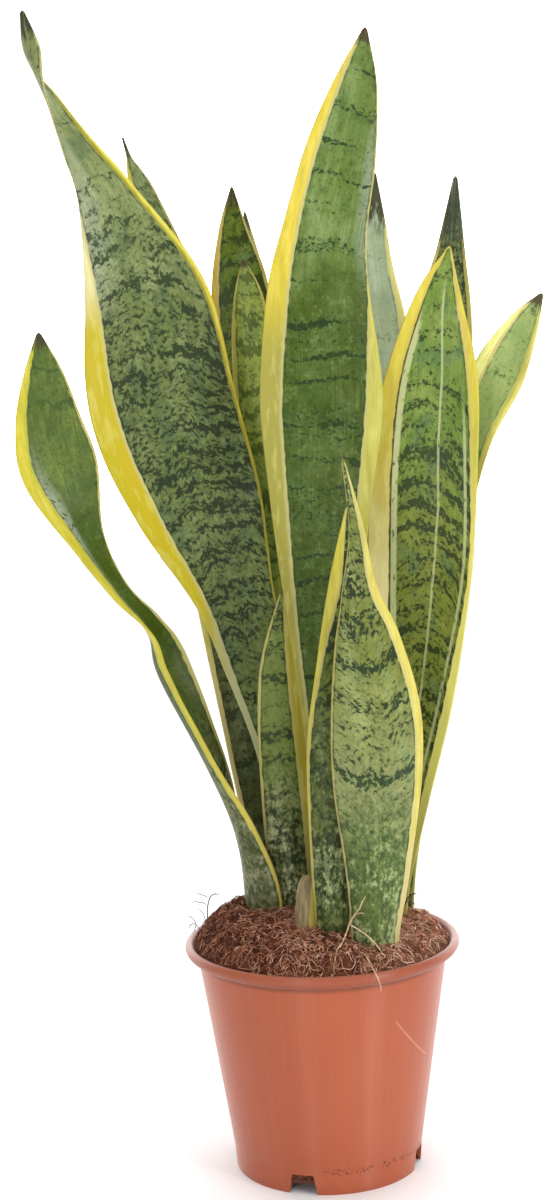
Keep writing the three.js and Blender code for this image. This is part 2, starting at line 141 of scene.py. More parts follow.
class Graph:
    """The nodes of one material or of the surround."""

    def __init__(self, name: str, surround: bool = False) -> None:
        """Starts empty.

        Args:
            name: the material's name.
            surround: true for the light all round the object.
        """
        self.material = (bpy.data.worlds if surround else bpy.data.materials).new(name)
        self.material.use_nodes = True
        self.tree = self.material.node_tree
        self.tree.nodes.clear()

    def node(
        self,
        kind: str,
        inputs: Optional[dict[Union[str, int], Input]] = None,
        settings: Optional[dict[str, str]] = None,
    ) -> bpy.types.Node:
        """Adds a node of any kind.

        Args:
            kind: the end of the node's type.
            inputs: links, numbers or hex colours of its sockets, by name or by number.
            settings: its own settings, set before its sockets.

        Returns:
            The node.
        """
        made = self.tree.nodes.new("ShaderNode" + kind)
        for key, value in (settings or {}).items():
            setattr(made, key, value)
        for key, value in (inputs or {}).items():
            if isinstance(value, Value):
                value = value.socket
            if isinstance(value, Socket):
                self.tree.links.new(value, made.inputs[key])
            else:
                made.inputs[key].default_value = paint(value) if isinstance(value, str) else value
        return made

    def maths(self, operation: str, first: Number, second: Number = 0.0) -> Value:
        """Adds a Math node."""
        made = self.node("Math", {0: first, 1: second}, {"operation": operation})
        return Value(self, made.outputs[0])

    def attribute(self, name: str) -> Value:
        """Reads a number that the piece's points carry."""
        return Value(self, self.node("Attribute", None, {"attribute_name": name}).outputs["Fac"])

    def place(self) -> list[Value]:
        """Reads the place on the object.

        Returns:
            x, y and z in millimetres.
        """
        spot = self.node("TexCoord").outputs["Object"]
        grown = self.node("VectorMath", {0: spot, "Scale": 1 / MM}, {"operation": "SCALE"})
        return self.split(grown.outputs[0])

    def split(self, vector: Socket) -> list[Value]:
        """Takes a vector apart into its three numbers."""
        return [Value(self, part) for part in self.node("SeparateXYZ", {0: vector}).outputs]

    def noise(
        self, x: Number, y: Number, z: Number = 0.0, detail: float = 1.0, rough: float = 0.5
    ) -> Value:
        """Soft noise from 0 to 1 at a point.

        Args:
            x: first coordinate, in noise cells.
            y: second coordinate.
            z: third coordinate, or a plain number that picks another pattern.
            detail: number of finer layers.
            rough: weight of the finer layers.

        Returns:
            The noise.
        """
        spot = self.node("CombineXYZ", {0: x, 1: y, 2: z}).outputs[0]
        sockets = {"Vector": spot, "Scale": 1, "Detail": detail, "Roughness": rough}
        return Value(self, self.node("TexNoise", sockets).outputs[0])

    def cells(self, x: Number, y: Number, z: Number) -> Value:
        """Measures how far a place is from the nearest of many scattered points.

        Args:
            x: first coordinate, with about one point in every unit of length.
            y: second coordinate.
            z: third coordinate.

        Returns:
            The distance.
        """
        spot = self.node("CombineXYZ", {0: x, 1: y, 2: z}).outputs[0]
        made = self.node("TexVoronoi", {"Vector": spot, "Scale": 1})
        return Value(self, made.outputs["Distance"])

    def mix(self, share: Number, first: Input, second: Input) -> Socket:
        """Mixes two colours, from the first at a share of 0 to the second at 1."""
        return self.node("Mix", {0: share, 6: first, 7: second}, {"data_type": "RGBA"}).outputs[2]

    def coats(self, colour: Input, *coats: tuple[Number, Input]) -> Input:
        """Lays coats of colour on each other.

        Args:
            colour: what is underneath.
            coats: how much of each coat shows, and its colour.

        Returns:
            What shows on top.
        """
        for share, coat in coats:
            colour = self.mix(share, colour, coat)
        return colour

    def ramp(self, place: Number, stops: Sequence[tuple[float, str]]) -> Socket:
        """Reads a colour from a row of colours.

        Args:
            place: where in the row, from 0 to 1.
            stops: the places and hex colours of the row.

        Returns:
            The colour's socket.
        """
        made = self.node("ValToRGB", {0: place})
        elements = made.color_ramp.elements
        while len(elements) < len(stops):
            elements.new(0.5)
        for stop, (at, code) in zip(elements, stops):
            stop.position, stop.color = at, paint(code)
        return made.outputs[0]

    def skin(
        self,
        colour: Input,
        roughness: Number,
        height: Value,
        depth: float,
        strength: float,
        specular: float = 0.5,
        others: Optional[dict[str, float]] = None,
    ) -> Material:
        """Closes the material with a surface shader.

        Args:
            colour: the base colour.
            roughness: 0 for a mirror.
            height: relief from 0 to 1.
            depth: what a height of 1 measures, in metres.
            strength: share of the relief that shows.
            specular: strength of the highlights.
            others: plain numbers of the shader's other sockets.

        Returns:
            The material.
        """
        relief = self.node("Bump", {"Strength": strength, "Distance": depth, "Height": height})
        sockets = {
            "Base Color": colour,
            "Roughness": roughness,
            "Normal": relief.outputs[0],
            "Specular IOR Level": specular,
            **(others or {}),
        }
        shader = self.node("BsdfPrincipled", sockets)
        self.node("OutputMaterial", {"Surface": shader.outputs[0]})
        return self.material


# ---- meshes ----


def grid(columns: int, rows: int, carried: Sequence[str] = ()) -> tuple[Mesh, list[list[Point]]]:
    """Starts a flat grid whose points are sorted into rows.

    Args:
        columns: number of faces in a row.
        rows: number of rows of faces.
        carried: names of numbers that each point carries for its finish.

    Returns:
        The mesh and its rows of points.
    """
    mesh = bmesh.new()
    for name in carried:
        mesh.verts.layers.float.new(name)
    made = bmesh.ops.create_grid(mesh, x_segments=columns, y_segments=rows, size=1.0)
    lines: list[list] = [[None] * (columns + 1) for _ in range(rows + 1)]
    for point in made["verts"]:
        row = round((point.co.y + 1) / 2 * rows)
        lines[row][round((point.co.x + 1) / 2 * columns)] = point
    return mesh, lines


def close(mesh: Mesh, gap: float = 2e-7) -> None:
    """Welds a mesh's seams and poles and turns its faces outwards.

    Args:
        mesh: the mesh.
        gap: the widest gap that is welded, in metres.
    """
    bmesh.ops.remove_doubles(mesh, verts=mesh.verts[:], dist=gap)
    bmesh.ops.dissolve_degenerate(mesh, edges=mesh.edges[:], dist=1e-9)
    bmesh.ops.recalc_face_normals(mesh, faces=mesh.faces[:])


def link(name: str, data: bpy.types.ID) -> Piece:
    """Puts an object into the scene.

    Args:
        name: the object's name.
        data: its mesh, light or camera.

    Returns:
        The object.
    """
    made = bpy.data.objects.new(name, data)
    bpy.context.scene.collection.objects.link(made)
    return made


def hold(name: str, mesh: Mesh) -> Piece:
    """Turns a mesh, which is freed, into an object.

    Args:
        name: the object's name.
        mesh: its finished mesh.

    Returns:
        The object.
    """
    data = bpy.data.meshes.new(name)
    mesh.to_mesh(data)
    mesh.free()
    return link(name, data)


def cut(mesh: Mesh, tool: Mesh) -> Mesh:
    """Takes one closed mesh out of another.

    Args:
        mesh: what is cut. It is freed.
        tool: what cuts it. It is freed too.

    Returns:
        What is left.
    """
    blank, blocks = hold("blank", mesh), hold("blocks", tool)
    change = blank.modifiers.new("cut", "BOOLEAN")
    change.operation, change.solver, change.object = "DIFFERENCE", "EXACT", blocks
    left = bmesh.new()
    left.from_object(blank, bpy.context.evaluated_depsgraph_get())
    for holder in (blank, blocks):
        data = holder.data
        bpy.data.objects.remove(holder)
        bpy.data.meshes.remove(data)
    return left


def put(
    name: str, mesh: Mesh, material: Material, stands_for: Sequence[str] = ()
) -> Piece:
    """Turns a mesh into a piece of the plant.

    Args:
        name: the piece's name.
        mesh: its finished mesh, which is freed.
        material: its material.
        stands_for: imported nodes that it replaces.

    Returns:
        The piece.
    """
    piece = hold(name, mesh)
    for face in piece.data.polygons:
        face.use_smooth = True
    piece.data.materials.append(material)
    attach(piece, "root")
    if stands_for:
        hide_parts(*stands_for)
    log.info("%s: %d faces", name, len(piece.data.polygons))
    return piece


def strands(
    paths: Sequence[Sequence[Vector]], radii: Sequence[float], sides: int, shades: Sequence[float]
) -> Mesh:
    """Makes many thin round strands, each pointed at both ends, from one grid.

    Args:
        paths: middle line of each strand, all with the same number of points, in metres.
        radii: thickest radius of each strand, in metres.
        sides: faces round a strand.
        shades: a number from 0 to 1 for each strand, kept as the attribute "shade".

    Returns:
        The mesh.
    """
    count = len(paths[0])
    mesh, lines = grid(sides, len(paths) * count - 1, ["shade"])
    shade = mesh.verts.layers.float["shade"]
    spare = []
    for line in lines[count::count]:
        below = line[0].co.y
        spare += [f for p in line for f in p.link_faces if f.calc_center_median().y < below]
    bmesh.ops.delete(mesh, geom=list(set(spare)), context="FACES_ONLY")
    for number, path in enumerate(paths):
        side = Vector((0.3, 0.5, 0.81))
        for step, centre in enumerate(path):
            ahead = (path[min(step + 1, count - 1)] - path[max(step - 1, 0)]).normalized()
            side = (side - ahead * side.dot(ahead)).normalized()
            other = ahead.cross(side)
            share = step / (count - 1)
            radius = radii[number] * min(1.0, 6 * share, 6 * (1 - share))
            for column, point in enumerate(lines[number * count + step]):
                turn = FULL_TURN * (column % sides) / sides
                point.co = centre + (side * math.cos(turn) + other * math.sin(turn)) * radius
                point[shade] = shades[number]
    close(mesh)
    return mesh


def spline(rows: Sequence[Sequence[float]], share: float) -> list[float]:
    """Reads rows of numbers as one smooth curve through all of them.

    Args:
        rows: the stations, each a row of numbers.
        share: 0 at the first station and 1 at the last.

    Returns:
        The numbers at that place.
    """
    last = len(rows) - 1
    at = min(max(share, 0.0), 1.0) * last
    first = min(int(at), last - 1)
    w = at - first
    out = []
    for row in zip(*rows):
        b, c = row[first], row[first + 1]
        a = row[first - 1] if first > 0 else 2 * row[0] - row[1]
        d = row[first + 2] if first + 2 <= last else 2 * row[last] - row[last - 1]
        start, end = (c - a) / 2, (d - b) / 2
        square, cube = 3 * (c - b) - 2 * start - end, 2 * (b - c) + start + end
        out.append(b + start * w + square * w**2 + cube * w**3)
    return out


# ---- leaves ----


@dataclass(frozen=True)
class Blade:
    """What a leaf's skin reads from its points, in millimetres."""

    graph: Graph
    seed: float
    across: Value
    along: Value
    inside: Value
    edge: Value
    to_tip: Value

    def noise(
        self,
        wide: float,
        long: float,
        pattern: float,
        detail: float = 1.0,
        rough: float = 0.5,
        line: Optional[Value] = None,
    ) -> Value:
        """Soft noise from 0 to 1 over the blade.

        Args:
            wide: noise cells in a millimetre across, or 0 for one value all across.
            long: noise cells in a millimetre along.
            pattern: number that picks the pattern.
            detail: number of finer layers.
            rough: weight of the finer layers.
            line: what is read in place of the way along.

        Returns:
            The noise.
        """
        x = self.across * wide if wide else 0.0
        return self.graph.noise(x, (line or self.along) * long, self.seed + pattern, detail, rough)


@dataclass(frozen=True)
class LeafFinish:
    """Colours and markings of one leaf. Lengths are in millimetres.

    The ground is the green between the marks, first at the top and then low down. A zone is where
    the marks get denser or sparser: its start, its end and the change. A reach is where a change of
    colour starts and ends. A sparse leaf has a high rarity.
    """

    ground: str
    pale: str
    band: str
    # low and low_band: darker colours low down, partly the leaf's own and partly painted shade
    low: str
    low_band: str
    margin_left: str
    margin_right: str
    seed: float
    inner_left: str = "b3a868"
    inner_right: str = "b3a868"
    margin_low: str = "b8ab58"
    margin_reach: tuple[float, float] = (70, 150)
    margin_low_right: str = ""
    margin_top: str = ""
    margin_top_right: str = ""
    margin_top_reach: tuple[float, float] = (300, 350)
    deep_margin: str = "a99a3c"
    base: str = "5a6c3a"
    base_dark: str = "33411f"
    base_fleck: str = "a4ad7e"
    base_height: float = 85.0
    foot_marks: float = 0.0
    blue: str = "56765a"
    blue_share: float = 0.35
    mottle: float = 0.3
    # painted sheen: colour, side, width and reach of a grey strip that stands in for a reflection
    painted_sheen: str = "a3ab97"
    painted_sheen_side: float = 0.0
    painted_sheen_width: float = 7.0
    painted_sheen_reach: tuple[float, float] = (300, 400)
    tip: str = "3f3726"
    tip_light: str = "75664a"
    tip_length: float = 4.0
    low_reach: tuple[float, float] = (120, 320)
    spacing: float = 11.0
    thick: float = 1.4
    vary: float = 1.0
    hold: float = 0.2
    rarity: float = 0.6
    clouds: float = 0.2
    marks: tuple[float, float] = (0.4, 0.6)
    arc: float = 3.0
    jag: float = 2.6
    sway: float = 7.0
    zones: Sequence[tuple[float, float, float]] = ()
    strength: float = 0.9
    blur: float = 0.05
    streaks: float = 0.5
    pale_lines: bool = False
    thread: str = "e8dc8a"
    stripe: str = "c0c48c"
    seam: str = "5b4426"
    rim: str = "8f7d3c"

    def density(self, on: Blade) -> Value:
        """Measures how much a place belongs to a dark mark, which starts at the leaf's rarity.

        Small jagged marks thicken into wandering, arched cross bands.

        Args:
            on: the blade.

        Returns:
            The density.
        """
        teeth = on.noise(0.55, 0.15, 0, 2, 0.65) - 0.5
        sway = on.noise(0.06, 0.02, 9.3) - 0.5
        line = on.along + teeth * (4 * self.jag) + sway * (2.4 * self.sway)
        line = line + on.across * on.across * (self.arc / 300)
        count = line / self.spacing + on.noise(0, 0.022, 15.2) * 2.5
        off = abs(on.graph.maths("FRACT", count) - 0.5) * self.spacing
        own = on.noise(0.03, 0.8, 21.7, line=count) - 0.5
        band = (own * (6 * self.vary * self.thick) + self.thick * 0.5 - off).step(-1.1, 1.1)
        calm = line - teeth * (2.6 * self.jag)
        specks = on.noise(*self.marks, 33.1, 2, 0.65, calm)
        cloud = on.noise(0.015, 0.055, 50, 1, line=calm) - 0.5
        density = specks + band * self.hold + cloud * self.clouds
        for start, end, change in self.zones:
            soft = min(24, (end - start) / 4)
            zone = calm.step(start - soft, start + soft) * calm.step(end + soft, end - soft)
            density = density + zone * change
        return density

    def green(self, on: Blade, grain: Value) -> tuple[Socket, Value, Socket]:
        """Colours the blade between its margins: clouded ground, painted sheen and dark marks.

        Args:
            on: the blade.
            grain: fine streaks along it.

        Returns:
            The ground's colour, how much of a mark covers it, and the marks' colour.
        """
        g = on.graph
        cloud = on.noise(0.07, 0.035, 60.1, 2)
        fine = on.noise(0.9, 0.6, 66.6, 2, 0.6)
        # darker colours low down: partly the leaf's own colour and partly painted shade, where the
        # leaves around shade the lower blade
        high = (on.along + (cloud - 0.5) * 60).step(*self.low_reach)
        light = (cloud * 0.8 + (grain - 0.5) * self.streaks + fine * 0.3).step(0.48, 0.78)
        blue = on.noise(0.11, 0.06, 70.4, 2).step(0.52, 0.66)
        mottle = on.noise(0.3, 0.22, 77.7, 3, 0.65)
        ground = g.coats(
            g.mix(high, self.low, self.ground),
            (light * high.most(0.35) * 0.8, self.pale),
            (blue * self.blue_share, self.blue),
            (mottle.step(0.48, 0.68) * self.mottle, self.low_band),
            (fine.step(0.54, 0.72) * self.mottle, self.low_band),
            (mottle.step(0.46, 0.32) * self.mottle * 0.8, self.pale),
        )
        # painted sheen: a grey strip by one margin of the upper blade stands in for a reflection
        if self.painted_sheen_side:
            start, end = self.painted_sheen_reach
            beside = (on.across * self.painted_sheen_side).step(1, 4)
            beside = beside * on.inside.step(self.painted_sheen_width, 0.8)
            beside = beside * on.along.step(start - 20, start + 20)
            beside = beside * on.along.step(end + 20, end - 20)
            ground = g.mix(beside * (grain * 1.2).least(1), ground, self.painted_sheen)
        density = self.density(on)
        soft = density.step(self.rarity - 0.13, self.rarity + 0.03) * 0.38
        marked = density.step(self.rarity, self.rarity + self.blur).most(soft) * self.strength
        return ground, marked, g.mix(high, self.low_band, self.band)

    def lined(self, on: Blade, colour: Input) -> Socket:
        """Draws the long pale stripes and the brown seam beside them.

        Args:
            on: the blade.
            colour: what they are drawn on.

        Returns:
            The colour.
        """
        g = on.graph
        worn = on.noise(0.6, 0.25, 101, 2)
        drift = (on.noise(0, 0.03, 104) - 0.5) * 3
        left = on.across.step(-6, -9) * on.along.step(70, 110)
        pale = on.inside.step(0.7, 1.2) * on.inside.step(4.3, 3.4) * left
        middle = 8.2 - abs(on.along - 250) * 0.055
        rib = abs(on.across - middle - drift * 0.5).step(0.8, 0.4) * on.along.step(368, 350)
        right = on.inside.step(1.6, 2.1) * on.inside.step(3.6, 3) * on.across.step(6, 9)
        right = right * on.along.step(320, 280)
        stripes = pale.most(rib * 0.75).most(right * 0.85) * worn.step(0.24, 0.44)
        seam = abs(on.inside - 0.5).step(0.55, 0.2) * left * worn.step(0.3, 0.5)
        return g.coats(colour, (stripes * 0.85, self.stripe), (seam * 0.8, self.seam))

    def margins(self, on: Blade) -> Socket:
        """Colours both margins: yellow outside, duller beside the green, with long threads.

        Args:
            on: the blade.

        Returns:
            The colour.
        """
        g = on.graph
        right = on.across.step(-1, 1)
        threads = on.noise(1.5, 0.02, 88.2, 2)
        tone = on.noise(0.3, 0.06, 92.2, 3, 0.6)
        margin = g.mix(right, self.margin_left, self.margin_right)
        if self.margin_top:
            top = g.mix(right, self.margin_top, self.margin_top_right or self.margin_top)
            margin = g.mix(on.along.step(*self.margin_top_reach) * 0.85, margin, top)
        inner = g.mix(right, self.inner_left, self.inner_right)
        low = (on.along + (tone - 0.5) * 40).step(*self.margin_reach[::-1])
        foot = g.mix(right, self.margin_low, self.margin_low_right or self.margin_low)
        return g.coats(
            margin,
            ((tone + (threads - 0.5) * 0.8).step(0.45, 0.75) * 0.45, self.deep_margin),
            (tone.step(0.5, 0.34) * on.edge.step(0.2, 0.9) * 0.22, self.thread),
            ((on.inside + (tone - 0.5) * 2).step(-2.2, -0.6) * 0.75, inner),
            (low * 0.8, foot),
        )

    def foot(self, on: Blade) -> tuple[Value, Socket]:
        """Finds the mottled foot.

        Args:
            on: the blade.

        Returns:
            How much of it shows, and its colour.
        """
        g = on.graph
        wave = on.noise(0.12, 0.05, 69) * 9
        fleck = on.noise(0.3, 0.2, 71.3, 3, 0.66, on.along + wave)
        fine = on.noise(0.6, 0.3, 75.3, 2, 0.6)
        shown = (on.along - 40 + fleck * 90 - 45).step(self.base_height, self.base_height * 0.4)
        colour = g.mix((fleck + (fine - 0.5) * 0.7).step(0.36, 0.54), self.base_dark, self.base)
        patch = on.noise(0.07, 0.05, 79.9, 1) - 0.5
        pale = (fleck + (fine - 0.5) * 0.9 + patch * 0.7).step(0.48, 0.72)
        return shown, g.mix(pale * 0.8, colour, self.base_fleck)

    def material(self, name: str) -> Material:
        """Builds the leaf's skin: marked green, margins, mottled foot and dry tip.

        Args:
            name: the material's name.

        Returns:
            The material.
        """
        g = Graph(name)
        on = Blade(g, self.seed, *(g.attribute(key) for key in CARRIED))
        grain = on.noise(2.2, 0.03, 55.5, 2)
        ragged = on.noise(0.6, 0.16, 81.1, 2) - 0.5
        border = on.inside + ragged * 1.5
        ground, marked, ink = self.green(on, grain)
        shown, foot = self.foot(on)
        colour = g.mix(shown * 0.85, g.mix(marked, ground, ink), foot)
        if self.foot_marks:
            colour = g.mix(marked * shown * self.foot_marks, colour, ink)
        if self.pale_lines:
            colour = self.lined(on, colour)
        seam = abs(border - 0.5).step(0.7, 0.1) * (ragged + 0.5).step(0.38, 0.6)
        length = self.tip_length
        dry = (on.to_tip + ragged * length * 1.2).step(length, length * 0.5)
        colour = g.coats(
            colour,
            (seam * 0.6, self.low_band),
            (border.step(0.3, -0.3), self.margins(on)),
            (on.edge.step(0.4, 0.1) * 0.3, self.rim),
            (dry * 0.92, g.mix(grain.step(0.5, 0.75), self.tip, self.tip_light)),
        )
        roughness = 0.36 + grain * 0.14 + ragged * 0.05
        relief = grain * 0.5 + on.noise(0.45, 0.45, 97, 2) * 0.5
        coat = {"Coat Weight": 0.05, "Coat Roughness": 0.2}
        return g.skin(colour, roughness, relief, 0.0006, 0.3, 0.14, coat)


@dataclass(frozen=True)
class SheathFinish:
    """Dry papery leaf base."""

    straw: str = "ac9c72"
    shade: str = "776847"
    stripe: str = "d3c24e"

    def material(self, name: str) -> Material:
        """Builds straw-coloured skin with long fibres and one yellow edge.

        Args:
            name: the material's name.

        Returns:
            The material.
        """
        g = Graph(name)
        across, along = g.attribute("across"), g.attribute("along")
        fibres = g.noise(across * 2.6, along * 0.05, 3, 3, 0.65)
        stain = g.noise(across * 0.4, along * 0.12, 9, 2)
        colour = g.mix((fibres * 0.7 + stain * 0.5).step(0.4, 0.75), self.straw, self.shade)
        stripe = (across + (stain - 0.5) * 1.5).step(2, 3.2)
        colour = g.mix(stripe * 0.85, colour, self.stripe)
        return g.skin(colour, 0.62 + fibres * 0.2, fibres, 0.0008, 0.6, 0.25)


@dataclass
class Leaf:
    """A stiff sword-shaped leaf standing in the soil. Lengths are in millimetres.

    A station is x, y, z, half width, turn in degrees, bow, left margin and right margin.
    """

    node: str
    slot: Slot
    thick: float
    ripple: float
    waves: int
    stations: Sequence[Sequence[float]]
    finish: Union[LeafFinish, SheathFinish]
    around: int = 56
    pitch: float = 2.4
    edge_thickness: float = 0.9
    tip_thickness: float = 1.0
    upper_thickness: float = 1.6
    least_thickness: float = 0.8
    rounding: float = 0.55
    flutter: float = 0.5
    flutter_length: float = 17.0

    def ring(self, share: float) -> tuple[Vector, Vector, Vector, float, float, float, float]:
        """Finds the blade's place and shape at one height.

        Args:
            share: 0 at the foot and 1 at the tip.

        Returns:
            Centre, direction across, direction back, half width, bow and both margins.
        """
        x, y, z, half, turn, bow, left, right = spline(self.stations, share)
        before = Vector(spline(self.stations, share - 0.0001)[:3])
        after = Vector(spline(self.stations, share + 0.0001)[:3])
        along = (after - before).normalized()
        level = Vector((0, 1, 0)).cross(along).normalized()
        across = Matrix.Rotation(math.radians(turn), 3, along) @ level
        width = max(half, self.tip_thickness * 0.6)
        return Vector((x, y, z)), across, along.cross(across), width, bow, left, right

    def mesh(self) -> Mesh:
        """Wraps a grid round the blade and closes its foot and tip.

        Returns:
            The closed mesh, whose points carry what the finish reads.
        """
        knots = [Vector(row[:3]) for row in self.stations]
        rows = round(sum((b - a).length for a, b in zip(knots, knots[1:])) / self.pitch)
        mesh, lines = grid(self.around, rows, CARRIED)
        keys = [mesh.verts.layers.float[name] for name in CARRIED]
        rings = [self.ring(row / rows) for row in range(rows + 1)]
        travelled = [0.0]
        for one, two in zip(rings, rings[1:]):
            travelled.append(travelled[-1] + (two[0] - one[0]).length)
        for row, line in enumerate(lines):
            share, way = row / rows, travelled[row]
            centre, across, behind, width, bow, left, right = rings[row]
            swell = math.sin(math.pi * share)
            middle = self.thick + (min(self.thick, self.upper_thickness) - self.thick) * share
            rim_thick = min(self.edge_thickness, middle)
            ripple = self.ripple * min(1.0, width / 12) * swell
            round_off = min(self.rounding, width * 0.6)
            reach = 0.0 if row in (0, rows) else 1.0
            for column, point in enumerate(line):
                turn = FULL_TURN * (column % self.around) / self.around
                u, side = -math.cos(turn), -math.sin(turn)
                rim = u * u
                phase = self.waves * FULL_TURN * share + self.thick * 7 + u
                wave = ripple * rim * u * math.sin(phase)
                spot = Vector((way / self.flutter_length, u * 0.8, self.thick * 9))
                wave += noise.noise(spot) * self.flutter * rim * min(1.0, width / 10) * swell
                taper = (middle + (rim_thick - middle) * rim) * min(1.0, 0.4 + width / 10)
                past = max(0.0, (abs(u) * width - (width - round_off)) / round_off)
                lift = max(taper, self.least_thickness) / 2 * math.sqrt(max(0.0, 1 - past * past))
                lift = 0.0 if abs(side) < 1e-6 else math.copysign(lift, side)
                off = u * width
                out = (bow * width * (1 - rim) + wave + lift) * reach
                point.co = (centre + across * (off * reach) + behind * out) * MM
                to_edge = (1 - abs(u)) * width
                margin = left + (right - left) * min(max(off / 2 + 0.5, 0.0), 1.0)
                carried = (off, way, to_edge - margin, to_edge, travelled[-1] - way)
                for key, value in zip(keys, carried):
                    point[key] = value
        close(mesh)
        return mesh

    def build(self) -> None:
        """Makes the leaf and dresses it."""
        skin = self.finish.material(f"{self.node}_skin")
        put(f"{self.node}_blade", self.mesh(), skin, [self.node])


